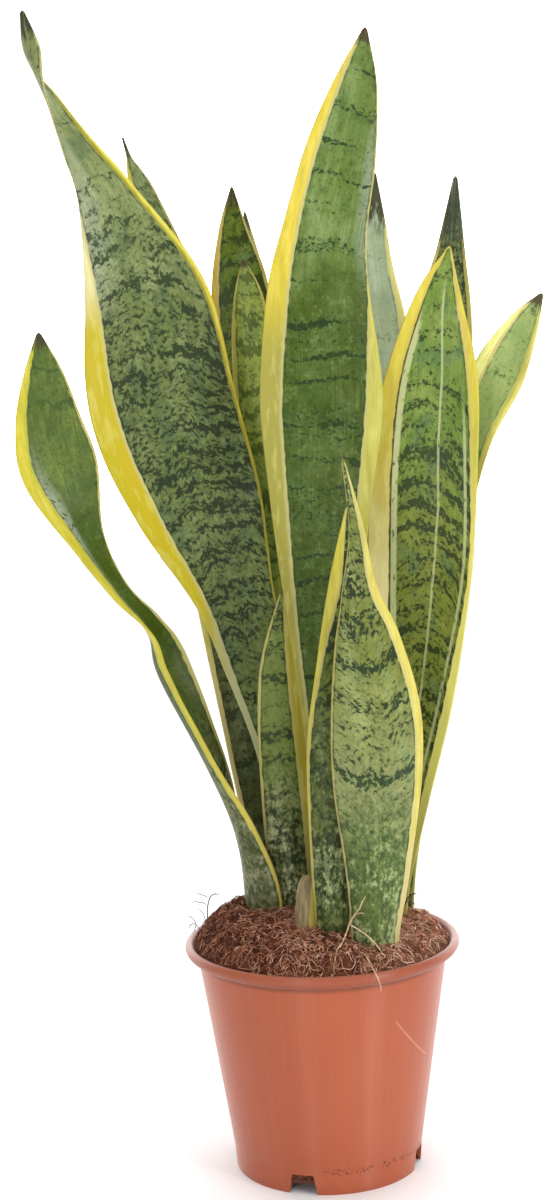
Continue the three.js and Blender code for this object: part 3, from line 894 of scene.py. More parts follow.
LEAVES: tuple[Leaf, ...] = (
    Leaf("leaf_tall_left", Slot.GREY_GREEN, 3.4, 1.4, 5, (
        (-12, 28, 88, 10, -62, 0.55, 1.2, 1.2), (-13, 28, 143, 11, -64, 0.6, 1.2, 1.2),
        (-18, 25, 198, 15, -48, 0.5, 2.4, 1.2), (-26, 21, 245, 20, -34, 0.3, 4.2, 1.2),
        (-38, 17, 292, 22, -20, 0.22, 6, 1.2), (-55, 9, 343, 32.5, 4, 0.12, 12, 1.6),
        (-70, 1, 392, 37, 12, 0.1, 14, 2.4), (-76, -5, 443, 31, 12, 0.12, 8, 3.4),
        (-92, -9, 491, 15.6, 16, 0.2, 0.6, 3.2), (-105, -9, 516, 9.5, 32, 0.2, 0.5, 2.8),
        (-116.5, -7, 541, 6, 66, 0.5, 0.5, 1.6), (-125.5, -5, 563, 6.5, 132, 0.3, 0.5, 3),
        (-130, -5, 583, 1.2, 145, 0, 0.3, 0.8),
    ), LeafFinish(
        "7d8954", "9aa470", "354427", "67753d", "202b15", "b7a816", "d0bf40", seed=3.1,
        inner_left="b9b47c", inner_right="77742a", margin_low="b4b890", margin_reach=(150, 215),
        margin_top="dfd9a6", margin_top_right="d8d056", margin_top_reach=(350, 385),
        deep_margin="c9a524", base_height=20, blue="3f5a40", blue_share=0.45, mottle=0.26,
        painted_sheen="a2a98b", painted_sheen_side=-1, painted_sheen_width=16, painted_sheen_reach=(370, 450), tip="2f3424",
        tip_length=16, low_reach=(305, 425), spacing=10.5, thick=3, vary=0.8, hold=0.145,
        rarity=0.548, clouds=0.24, marks=(0.34, 0.52), arc=3.2, jag=3,
        zones=((415, 580, -0.18), (283, 358, 0.022), (-20, 190, -0.02)), strength=0.95, blur=0.085,
        streaks=0.9,
    )),
    Leaf("leaf_far_left", Slot.GREEN, 3.4, 1.2, 4, (
        (-29, 13, 88, 13, 126, 0.5, 0.5, 1), (-29, 13, 137, 15, 128, 0.45, 0.8, 1),
        (-36, 12, 172, 13, 112, 0.4, 1.6, 1.2), (-48, 10, 210, 12.5, 84, 0.6, 2.8, 1.5),
        (-68, 6, 260, 13.5, 67, 0.8, 3, 1.5), (-79, 3, 281, 9, 72, 0.4, 3.6, 1.3),
        (-94, -1, 299, 8.5, 62, 0.25, 5, 1.3), (-110, -7, 327, 12, 44, 0.15, 7, 1.2),
        (-121, -13, 361, 19, 14, 0.1, 7, 1.2), (-125, -18, 384, 16.5, 10, 0.15, 5.8, 1.2),
        (-126, -22, 408, 10, 8, 0.2, 3.4, 0.9), (-127, -26, 429, 0.8, 0, 0, 0.3, 0.3),
    ), LeafFinish(
        "516328", "7b8941", "3d5222", "3d4e07", "33441a", "c9bd3c", "b8b058", seed=5.7,
        inner_left="a8a838", margin_low="c9b95a", base="737650", base_dark="474d2c",
        base_fleck="a5a382", base_height=135, foot_marks=0.5, blue="48663a", painted_sheen_side=-1,
        painted_sheen_width=8, painted_sheen_reach=(218, 300), tip="35321f", tip_length=10, low_reach=(220, 300),
        spacing=26, thick=1.6, hold=0.3, rarity=0.62, clouds=0.12,
    )),
    Leaf("leaf_behind_tall_left", Slot.GREY_GREEN, 3, 1, 4, (
        (-25, 46, 88, 8, 20, 0.5, 2, 2), (-27, 48, 141, 8, 22, 0.5, 3, 2),
        (-35, 52, 207, 12, 24, 0.3, 3, 3), (-45, 55, 290, 16, 24, 0.2, 4, 3),
        (-55, 62, 392, 17, 22, 0.15, 4.5, 2.5), (-64, 68, 444, 15, 20, 0.15, 5, 2.2),
        (-78, 77, 495, 7.6, 14, 0.2, 3.6, 1.2), (-83.8, 80, 511, 4.4, 12, 0.15, 2, 0.8),
        (-86.8, 82, 520, 1.5, 8, 0.1, 0.5, 0.5), (-90, 84, 531, 0.5, 0, 0, 0.3, 0.3),
    ), LeafFinish(
        "8d9b66", "9fad7b", "55663c", "59603a", "32361c", "e2d878", "d6cc88", seed=8.2,
        inner_left="c8b840", margin_low="efe0a2", margin_reach=(140, 210), base_height=20,
        tip="3a3826", tip_length=12, low_reach=(225, 300), thick=2, strength=0.8,
    )),
    Leaf("leaf_back_dark", Slot.DARK_GREEN, 3, 0.8, 4, (
        (-7, 42, 88, 8, 12, 0.5, 2, 1.5), (-9, 43, 138, 8, 12, 0.5, 2, 1.5),
        (-16, 47, 208, 10, 14, 0.3, 2.5, 1.5), (-24, 50, 287, 15, 14, 0.2, 4.5, 1.5),
        (-27, 54, 365, 18, 14, 0.15, 4.8, 1.6), (-30, 60, 443, 16, 12, 0.15, 4.2, 1.8),
        (-33, 64, 478, 8, 8, 0.15, 2, 1.2), (-33, 66, 502, 0.5, 0, 0, 0.3, 0.3),
    ), LeafFinish(
        "5d6d1e", "74823c", "2c3a14", "3c4812", "222c0c", "cca82c", "b0a040", seed=11.4,
        mottle=0.45, tip="33331c", tip_length=14, thick=3.4, hold=0.22, rarity=0.57,
    )),
    Leaf("leaf_back_grey", Slot.GREY_GREEN, 2.8, 0.8, 3, (
        (8, 50, 88, 7, -10, 0.5, 1.5, 2), (6, 52, 134, 7, -10, 0.45, 1.5, 2),
        (-4, 62, 231, 11, -12, 0.25, 1.8, 3), (-13, 70, 311, 12, -12, 0.2, 1.8, 3.5),
        (-19, 78, 391, 13, -10, 0.15, 1.8, 3.8), (-23, 86, 443, 9, -6, 0.15, 1.5, 3),
        (-27, 92, 491, 0.5, 0, 0, 0.3, 0.3),
    ), LeafFinish(
        "92a071", "9ba782", "5f6e45", "7a875e", "33401f", "c0b456", "c4b858", seed=14.9,
        tip="55523c", tip_length=12, thick=2.2, strength=0.7,
    )),
    Leaf("leaf_centre_left", Slot.GREEN, 2.8, 0.9, 4, (
        (6, 25, 88, 6, 0, 0.5, 1.5, 1.5), (6, 26, 142, 7, 0, 0.5, 1.5, 1.5),
        (4, 28, 205, 8, -4, 0.3, 1.8, 1.8), (-7, 28, 265, 10, -8, 0.25, 2, 2),
        (-19, 28, 335, 14, -14, 0.15, 2, 2), (-24, 30, 405, 12, -14, 0.15, 2.6, 1.6),
        (-26, 32, 442, 8, -10, 0.15, 1.3, 1.2), (-28, 33, 463, 0.5, 0, 0, 0.3, 0.3),
    ), LeafFinish(
        "9fae50", "98a54c", "3f4f1c", "778a33", "33401f", "d8cf5c", "c8bc50", seed=17.3,
        tip_length=6, thick=2.4, hold=0.24, strength=0.74,
    )),
    Leaf("leaf_tall_centre", Slot.GREEN, 3.4, 1.2, 5, (
        (8, -2, 88, 8, 0, 0.45, 2, 1.5), (7, -3, 146, 9, 0, 0.45, 2.2, 1.5),
        (7, -6, 215, 12, -4, 0.3, 3.3, 3), (6, -9, 280, 18, -8, 0.2, 5, 5),
        (6, -13, 342, 25, -6, 0.12, 9, 7), (8, -17, 391, 30, -2, 0.1, 11, 8.5),
        (8, -20, 440, 25.2, 2, 0.12, 11, 1.4), (12.5, -22, 474, 20.4, 6, 0.15, 8, 0.7),
        (21, -24, 509, 17.2, 8, 0.2, 6.4, 0.6), (28.8, -26, 540, 10.6, 6, 0.15, 4, 0.5),
        (34, -28, 566, 0.8, 0, 0, 0.3, 0.3),
    ), LeafFinish(
        "657a36", "879b60", "1f3a1c", "455713", "1f3514", "9b9543", "beba58", seed=21.8,
        inner_left="b4b07c", inner_right="b8b070", margin_low="b8a83c", margin_top="dcc63c",
        margin_top_reach=(320, 370), base_height=20, blue="4a6c30", blue_share=0.3, mottle=0.36,
        painted_sheen="98a088", painted_sheen_side=1, painted_sheen_reach=(365, 430), tip="4a3a28", tip_length=9,
        low_reach=(330, 400), spacing=17, vary=0.9, hold=0.24, rarity=0.66, clouds=0.1,
        marks=(0.5, 0.6), arc=1, jag=1.1, sway=4,
        zones=((-50, 240, 0.05), (242, 262, 0.09), (283, 302, 0.1), (330, 345, 0.06),
            (370, 392, -0.1), (434, 456, -0.08)),
        strength=0.95, streaks=0.6,
    )),
    Leaf("leaf_behind_centre", Slot.GREY_GREEN, 2.8, 0.9, 4, (
        (19, 29, 88, 7, -8, 0.5, 1.5, 2), (21, 29, 139, 7, -8, 0.45, 1.5, 2),
        (30, 29, 208, 9, -12, 0.3, 2, 2.3), (38, 31, 269, 11, -16, 0.2, 2, 2.5),
        (43, 35, 339, 15, -18, 0.15, 2, 4), (43, 42, 415, 13.5, -18, 0.15, 2, 4.4),
        (41.5, 48, 456, 7.5, -16, 0.15, 1.2, 2.8), (40, 52, 479, 6, -10, 0.1, 0.8, 1.2),
        (41, 56, 506, 0.8, 0, 0, 0.3, 0.3),
    ), LeafFinish(
        "b5c49f", "d0dbc5", "7f8d6c", "86a06c", "66745a", "f6f2d8", "f6ee98", seed=25.2,
        inner_left="c8cba0", inner_right="dedc98", blue="93ab93", blue_share=0.4, mottle=0.15,
        tip="3a3a28", tip_length=34, spacing=22, rarity=0.68, clouds=0.1, strength=0.6, streaks=0.8,
    )),
    Leaf("leaf_broad_right", Slot.GREEN, 3.4, 1.1, 4, (
        (32, 8, 88, 10, 4, 0.55, 2, 2), (35, 8, 139, 11, 2, 0.55, 2, 2.6),
        (42, 7, 186, 15, -4, 0.45, 3, 4.2), (51, 5, 241, 20, -8, 0.3, 6, 4.6),
        (55, 2, 301, 26, -10, 0.2, 10, 2.2), (58, -1, 356, 27, -10, 0.15, 10.5, 3.8),
        (63, -4, 400, 23, -8, 0.15, 7.5, 5.6), (67, -7, 438, 12, -4, 0.15, 5, 3.2),
        (73, -9, 464, 0.5, 0, 0, 0.3, 0.3),
    ), LeafFinish(
        "688532", "93a354", "283719", "7b8633", "233017", "b7a939", "c4c04a", seed=29.6,
        inner_left="c8b050", inner_right="c9b46a", margin_low="f4ebb0", margin_reach=(175, 290),
        margin_low_right="efe97e", margin_top="d6c648", margin_top_reach=(270, 320),
        deep_margin="c0a24a", base_height=20, blue="4f7050", blue_share=0.45, tip="c8b848",
        tip_length=1.5, low_reach=(235, 300), thick=3, vary=0.8, hold=0.17, rarity=0.58,
        clouds=0.12, marks=(0.5, 0.5), arc=9, jag=1.7, sway=5, zones=((318, 420, -0.14),),
        pale_lines=True,
    )),
    Leaf("leaf_front_right", Slot.LIGHT_GREEN, 3.6, 1, 3, (
        (26, -30, 88, 11, 4, -0.6, 0.8, 3), (26, -32, 126, 12, 4, -0.55, 0.8, 3),
        (28, -34, 160, 16, 4, -0.45, 0.8, 3.3), (29, -36, 205, 22, 4, -0.25, 0.8, 4),
        (29, -38, 240, 22, 2, -0.15, 0.9, 4.4), (26, -40, 276, 16, -6, -0.12, 0.9, 4.5),
        (23, -43, 301, 9, -18, -0.1, 0.7, 4), (22, -46, 331, 4, -24, 0, 0.5, 2.4),
        (16, -50, 366, 0.5, 0, 0, 0.3, 0.4),
    ), LeafFinish(
        "777f36", "a9b173", "26361c", "8c925d", "263a20", "a89c50", "d2c560", seed=33.7,
        inner_left="a89c60", inner_right="c3b978", margin_low="c4b680", margin_reach=(60, 110),
        base="576b2e", base_dark="2f4824", base_fleck="afb784", base_height=88, blue="7c9560",
        blue_share=0.3, mottle=0.26, tip="6a6440", low_reach=(90, 190), spacing=12.5, thick=1.7,
        vary=0.8, hold=0.07, clouds=0.14, marks=(0.38, 0.5), arc=-5, jag=2.7, sway=6,
        zones=((119, 124, 0.17), (142, 146, 0.08), (152, 159, 0.12), (175, 181, 0.13),
            (192, 205, 0.12), (212, 222, 0.13), (222, 280, 0.04)),
        strength=0.97, streaks=0.35,
    )),
    Leaf("leaf_back_right", Slot.GREY_GREEN, 3, 0.9, 4, (
        (33, 40, 88, 7, -14, 0.5, 1.5, 1.5), (36, 42, 137, 8, -18, 0.45, 1.5, 1.5),
        (48, 48, 206, 13, -24, 0.3, 2, 2), (61, 55, 284, 19, -26, 0.2, 2.5, 2.5),
        (69, 63, 362, 21, -24, 0.15, 3, 3), (76.5, 72, 430, 15, -20, 0.15, 2.8, 2.6),
        (81.5, 78, 467, 7.5, -12, 0.15, 1.6, 1.4), (85.5, 84, 505, 1, 0, 0, 0.3, 0.3),
    ), LeafFinish(
        "828c50", "747f56", "2c331e", "687545", "2a311c", "b9a850", "c4b862", seed=37.9,
        tip="3d4433", tip_light="7c826e", tip_length=48, spacing=9, thick=2.6, rarity=0.56,
    )),
    Leaf("leaf_far_right", Slot.LIGHT_GREEN, 3, 1, 4, (
        (40, 21, 88, 7, -10, 0.5, 1.5, 1.5), (43, 21, 140, 7, -12, 0.45, 1.8, 1.5),
        (49, 22, 182, 8, -16, 0.35, 2.4, 1.8), (58, 22, 240, 10, -18, 0.25, 3, 2),
        (71.5, 20, 324, 11, -18, 0.2, 4, 2.6), (83, 17, 370, 12, -18, 0.2, 6.4, 3.6),
        (98.5, 13, 402, 13.5, -20, 0.2, 6.6, 4.2), (110, 10, 424, 8.4, -18, 0.2, 3.6, 2.4),
        (120, 8, 440, 0.8, 0, 0, 0.3, 0.3),
    ), LeafFinish(
        "9bae66", "b2c07e", "5a7238", "8c9d54", "55692f", "f7f79c", "ece37d", seed=41.3,
        inner_left="d0bc7c", inner_right="b9b860", margin_low="dad484", blue="86a464",
        blue_share=0.4, mottle=0.2, tip="41382a", tip_length=11, spacing=24, hold=0.16, rarity=0.66,
        clouds=0.1,
    )),
    Leaf("leaf_front_middle", Slot.DARK_GREEN, 3, 0.8, 3, (
        (5, -25, 88, 8, 0, -0.55, 0.7, 1.5), (5, -26, 124, 8, 0, -0.5, 0.8, 1.5),
        (8, -25, 167, 13, 4, -0.35, 1.2, 2), (10, -23, 218, 15, 6, -0.2, 1.6, 2),
        (13, -23, 262, 12, 8, -0.15, 3, 2), (16, -26, 305, 7, 6, -0.1, 6, 1.2),
        (19, -30, 343, 0.5, 0, 0, 0.5, 0.3),
    ), LeafFinish(
        "6b7a2e", "8a9658", "1e2b10", "617025", "1d2b10", "c6bb44", "b0a650", seed=45.5,
        margin_low="a89c50", base="606a37", base_dark="2e3a16", base_fleck="abb882",
        base_height=130, foot_marks=0.6, blue="3f5f3c", blue_share=0.4, mottle=0.34, spacing=10,
        thick=3.2, rarity=0.56, clouds=0.16,
    )),
    Leaf("leaf_front_left", Slot.GREEN, 3, 0.8, 3, (
        (-13, 11, 88, 10, -10, -0.35, 0.8, 2.5), (-14, 10, 134, 11, -8, -0.35, 0.9, 2.5),
        (-16, 8, 180, 12, 0, -0.3, 1.2, 4), (-16, 5, 230, 13, 6, -0.2, 1.3, 9),
        (-16, 4, 262, 10, 4, -0.15, 1.3, 8), (-14, 3, 298, 0.5, 0, 0, 0.3, 0.5),
    ), LeafFinish(
        "778537", "8e9a5a", "2f3f16", "6c7b35", "26341a", "b4ae62", "a89c34", seed=49.1,
        margin_low="8a8448", margin_reach=(50, 100), base="6b7247", base_dark="1f240e",
        base_fleck="c0c295", base_height=92, foot_marks=0.7, blue="5c7434", blue_share=0.3,
        mottle=0.26, spacing=19, thick=2.6, vary=0.8, hold=0.05, rarity=0.62, clouds=0.1,
        marks=(0.36, 0.5), jag=2.4, sway=4,
        zones=((58, 62, 0.13), (68, 74, 0.17), (78, 81, 0.15), (86, 91, 0.16), (94, 97, 0.13),
            (101, 104, 0.14), (119, 125, 0.09), (131, 137, 0.17), (162, 168, 0.2), (175, 183, 0.11),
            (189, 204, 0.17)),
    )),
    Leaf("dry_sheath", Slot.DRY_SHEATH, 1, 0.3, 2, (
        (-9, -22, 104, 5.4, -6, -0.45, 0, 0), (-8.6, -22, 128, 5.4, -8, -0.45, 0, 0),
        (-7.8, -20, 143, 5, -12, -0.4, 0, 0), (-6.6, -19, 152, 4, -14, -0.3, 0, 0),
        (-5, -18, 155, 0.8, -16, 0, 0, 0),
    ), SheathFinish(), around=40, pitch=1.5),
)


# ---- pot ----


@dataclass(frozen=True)
class PotFinish:
    """Satin terracotta-coloured plastic with a little dirt and one scratch."""

    clay: str = "a85231"
    light: str = "b35f3f"
    deep: str = "95462b"
    # groove, lip and roll: painted shade on and under the rim
    groove_shade: str = "5c2c1c"
    rubbed: str = "dd9070"
    lip_shade: str = "7c3d28"
    roll: str = "7a3c28"
    dirt: str = "3f2417"
    scratch: str = "e3a080"
    smear: str = "7a4630"
    # painted shade low inside the pot, seen through the drain notches
    hollow_shade: str = "40190e"

    def material(self, name: str) -> Material:
        """Builds the plastic.

        Args:
            name: the material's name.

        Returns:
            The material.
        """
        g = Graph(name)
        x, y, z = g.place()
        cloud = g.noise(x * 0.02, y * 0.02, z * 0.015, 2)
        root = g.maths("SQRT", (x * x + y * y).most(1))
        around_x, around_y = x / root, y / root
        streak = g.noise(around_x * 26, around_y * 26, z * 0.012, 3, 0.6)
        grain = g.noise(x * 1.6, y * 1.6, z * 1.6, 2)

        # a line of dirt beside one notch, and small spots near the foot
        outer = (root - (48.0 + (z - 12) * 0.1534)).step(-1.2, -0.6)
        dots = g.cells(x * 0.22, y * 0.22, z * 0.22)
        crumbs = g.noise(x * 0.5, y * 0.5, z * 0.6, 3, 0.65)
        line = abs(z - 11.5 - (crumbs - 0.5) * 6).step(2.8, 0.4)
        line = line * (around_x * 0.75 - around_y * 0.62).step(0.45, 0.75)
        dirty = line * (crumbs + (cloud - 0.5) * 0.4).step(0.56, 0.64)
        dirty = dirty.most(dots.step(0.13, 0.07) * z.step(62, 20) * crumbs.step(0.5, 0.6) * 0.7)

        # the scratch, which runs down to the right
        slant = abs((x - 41.5) * 0.845 + (z - 76.5) * 0.535 + (grain - 0.5) * 0.5)
        scratch = slant.step(0.55, 0.2) * x.step(33, 35) * x.step(50.5, 48.5) * y.step(-5, -15)

        inner = outer.step(0.6, 0.3)
        colour = g.coats(
            self.clay,
            ((cloud * 0.6 + streak * 0.4).step(0.35, 0.68) * 0.6, self.light),
            (grain.step(0.55, 0.8) * 0.25, self.deep),
            # painted shade on the rim: the groove below the lip, the lip's downward-facing
            # underside and the rim above it are darkened
            (z.step(107.6, 109.8) * z.step(112.6, 110.6) * 0.55, self.groove_shade),
            (z.step(114.5, 117.5) * (0.4 + grain) * 0.06, self.rubbed),
            (z.step(111.5, 113.5) * 0.42, self.lip_shade),
            (z.step(110, 110.8) * z.step(115.2, 112) * 0.5, self.roll),
            (dirty * outer * 0.85, self.dirt),
            (scratch * (0.15 + crumbs * 0.5), self.scratch),
            (inner * z.step(30, 108) * crumbs.step(0.42, 0.62) * 0.5, self.smear),
            # painted shade: inner surfaces low in the pot and foot are darkened
            (inner * z.step(14, 11) * 0.85, self.hollow_shade),
        )
        ridges = g.maths("SINE", z * 2.1 + cloud * 3) * 0.5 + 0.5
        relief = grain * 0.25 + ridges * 0.08 + streak * 0.5
        roughness = 0.34 + grain * 0.1 + dirty * 0.3 + cloud * 0.06
        gloss = {"Anisotropic": 0.95, "Anisotropic Rotation": 0.25, "Coat Weight": 0.12}
        gloss |= {"Coat Roughness": 0.3, "Sheen Weight": 0.12, "Sheen Roughness": 0.35}
        return g.skin(colour, roughness, relief, 0.0004, 0.3, 0.4, gloss)


@dataclass
class Pot:
    """A nursery pot with a rolled rim and four drain notches. Lengths are in millimetres."""

    neck_radius: float = 63.2
    neck: float = 108.5
    skirt_radius: float = 48.4
    skirt: float = 12.0
    base_radius: float = 47.5
    wall: float = 1.2
    floor: float = 6.7
    notches: int = 4
    notch_turn: float = -17.3
    notch_height: float = 10.3
    notch_top: float = 11.2
    notch_foot: float = 15.4
    notch_middle: float = 49.4
    notch_depth: float = 8.0
    notch_rounding: float = 0.5
    sharp: float = 34.0
    steps: int = 192
    finish: PotFinish = field(default_factory=PotFinish)

    def inner(self, z: float) -> float:
        """Gives the inner wall's radius.

        Args:
            z: height above the floor it stands on.

        Returns:
            The radius.
        """
        if z < self.skirt:
            outer = self.base_radius + (self.skirt_radius - self.base_radius) * z / self.skirt
        else:
            share = (z - self.skirt) / (self.neck - self.skirt)
            outer = self.skirt_radius + (self.neck_radius - self.skirt_radius) * share
        return outer - self.wall

    def profile(self) -> list[tuple[float, float]]:
        """Lists the section's corners, from the middle of the foot and round.

        Returns:
            The radius and the height of each.
        """
        foot, floor = self.inner(0), self.floor
        return [
            (0.0, 0.0), (8.0, 0.0), (8.6, 5.5), (foot - 1.6, 5.5), (foot - 0.6, 4.6),
            (foot, 0.25), (46.5, 0.0), (47.2, 0.0), (47.5, 0.4), (48.0, 5.0), (48.4, 11.4),
            (48.45, 12.0), (48.7, 12.6), (51.5, 31.5), (55.8, 60.0), (59.6, 85.0), (62.6, 104.6),
            (63.2, 108.8), (63.35, 110.2), (63.6, 110.6), (65.2, 111.0), (67.4, 112.0),
            (69.0, 113.2), (69.7, 114.3), (70.0, 115.4), (69.95, 116.3), (69.5, 117.2),
            (68.8, 117.8), (67.8, 118.0), (66.8, 117.8), (66.2, 117.2), (65.7, 116.3),
            (65.4, 115.4), (63.9, 112.4), (self.inner(self.neck) + 0.6, 110.1),
            (self.inner(106.5), 106.5), (self.inner(60), 60.0), (self.inner(12), 12.0),
            (self.inner(6.9) - 0.1, 7.3), (self.inner(floor) - 0.6, floor), (30.0, floor),
            (0.0, floor),
        ]

    def shell(self) -> Mesh:
        """Spins the section into the pot's wall, floor and rim.

        Returns:
            The closed mesh.
        """
        mesh = bmesh.new()
        corners = [mesh.verts.new((r * MM, 0.0, z * MM)) for r, z in self.profile()]
        edges = [mesh.edges.new(pair) for pair in zip(corners, corners[1:])]
        bmesh.ops.spin(
            mesh, geom=corners + edges, cent=(0, 0, 0), axis=(0, 0, 1), dvec=(0, 0, 0),
            angle=FULL_TURN, steps=self.steps, use_merge=True,
        )
        close(mesh, 1e-6)
        return mesh

    def blocks(self) -> Mesh:
        """Makes the blocks that cut the drain notches, wider at the foot and rounded at the top.

        Returns:
            All of them as one mesh.
        """
        mesh = bmesh.new()
        for number in range(self.notches):
            made = bmesh.ops.create_cube(mesh, size=1.0)["verts"]
            for point in made:
                high = point.co.z > 0
                x = point.co.x * (self.notch_top if high else self.notch_foot)
                y = point.co.y * self.notch_depth - self.notch_middle
                point.co = Vector((x, y, self.notch_height if high else -2.0)) * MM
            turn = math.radians(self.notch_turn + 360 / self.notches * number)
            bmesh.ops.rotate(mesh, verts=made, cent=(0, 0, 0), matrix=Matrix.Rotation(turn, 3, "Z"))
        bmesh.ops.recalc_face_normals(mesh, faces=mesh.faces[:])
        half = 0.5 * self.notch_height * MM
        edges = [e for e in mesh.edges if min(v.co.z for v in e.verts) > half]
        bmesh.ops.bevel(
            mesh, geom=edges, offset=self.notch_rounding * MM, affect="EDGES", segments=2,
            profile=0.5, material=-1,
        )
        return mesh

    def build(self) -> None:
        """Makes the pot and dresses it."""
        mesh = cut(self.shell(), self.blocks())
        plastic = self.finish.material("terracotta_plastic")
        piece = put("nursery_pot", mesh, plastic, ["pot"])
        piece.data.set_sharp_from_angle(angle=math.radians(self.sharp))


# ---- soil ----


@dataclass(frozen=True)
class SoilFinish:
    """Damp reddish-brown coconut-fibre compost."""

    dark: str = "2a1009"
    mid: str = "7c4631"
    warm: str = "93644b"
    light: str = "bf8d70"
    top: str = "cda383"
    damp: str = "5a2c1c"
    # left and right: painted shade on the left and painted light on the right, where more light
    # falls
    left: str = "3a1a12"
    right: str = "c39a7e"
    shade: str = "30150d"

    def material(self, name: str) -> Material:
        """Builds tangled fibre and dark gaps, with painted light and painted shade.

        Args:
            name: the material's name.

        Returns:
            The material.
        """
        g = Graph(name)
        x, y, z = g.place()
        bend = g.noise(x * 0.25, y * 0.25, z * 0.25, 2) * 5
        hair = g.noise(x * 0.5 + bend, y * 2.2, z * 0.8, 3, 0.7)
        cross = g.noise(x * 2.2, y * 0.5 - bend, z * 0.8 + 4, 3, 0.7)
        clump = g.noise(x * 0.16, y * 0.16, z * 0.16, 3, 0.6)
        tangle = hair.most(cross) * 0.75 + clump * 0.35
        tones = (self.dark, self.mid, self.warm, self.light, self.top)
        # painted shade round the feet of the front leaves
        beside = (x - 20) * (x - 20) * 0.004 + (y + 36) * (y + 36) * 0.012
        colour = g.coats(
            g.ramp(tangle, list(zip((0.47, 0.6, 0.69, 0.78, 0.9), tones))),
            (g.noise(x * 0.07, y * 0.07, z * 0.07).step(0.42, 0.64) * 0.35, self.damp),
            # painted shade on the left and painted light on the right, where more light falls
            ((clump * 30 - x).step(0, 50) * 0.1, self.left),
            ((x + clump * 30).step(30, 75) * 0.3, self.right),
            ((beside + clump - 0.5).step(1.6, 0.5) * 0.5, self.shade),
        )
        return g.skin(colour, 0.85 + clump * 0.12, tangle, 0.0022, 1, 0.2)


@dataclass(frozen=True)
class FibreFinish:
    """Loose fibres, each in its own shade between two colours."""

    dark: str = "54291c"
    mid: str = "c0805f"
    light: str = "f3ccb0"

    def material(self, name: str) -> Material:
        """Builds the fibres' skin, which reads the shade that each strand carries.

        Args:
            name: the material's name.

        Returns:
            The material.
        """
        g = Graph(name)
        x, y, z = g.place()
        shade = g.attribute("shade")
        mottle = g.noise(x * 0.8, y * 0.8, z * 0.8, 2)
        # x * 0.003 is painted light: fibres lighter towards the right, where more light falls
        tone = shade * 0.8 + mottle * 0.3 + x * 0.003 - 0.08
        colour = g.ramp(tone, [(0.05, self.dark), (0.5, self.mid), (0.95, self.light)])
        return g.skin(colour, 0.7 + mottle * 0.2, mottle, 0.0002, 0.5, 0.25)


@dataclass(frozen=True)
class Fibres:
    """One kind of loose fibre. Lengths are in millimetres, each the least and the greatest."""

    name: str
    count: int
    length: tuple[float, float]
    radius: tuple[float, float]
    lift: float
    points: int
    seed: int
    sides: int = 3


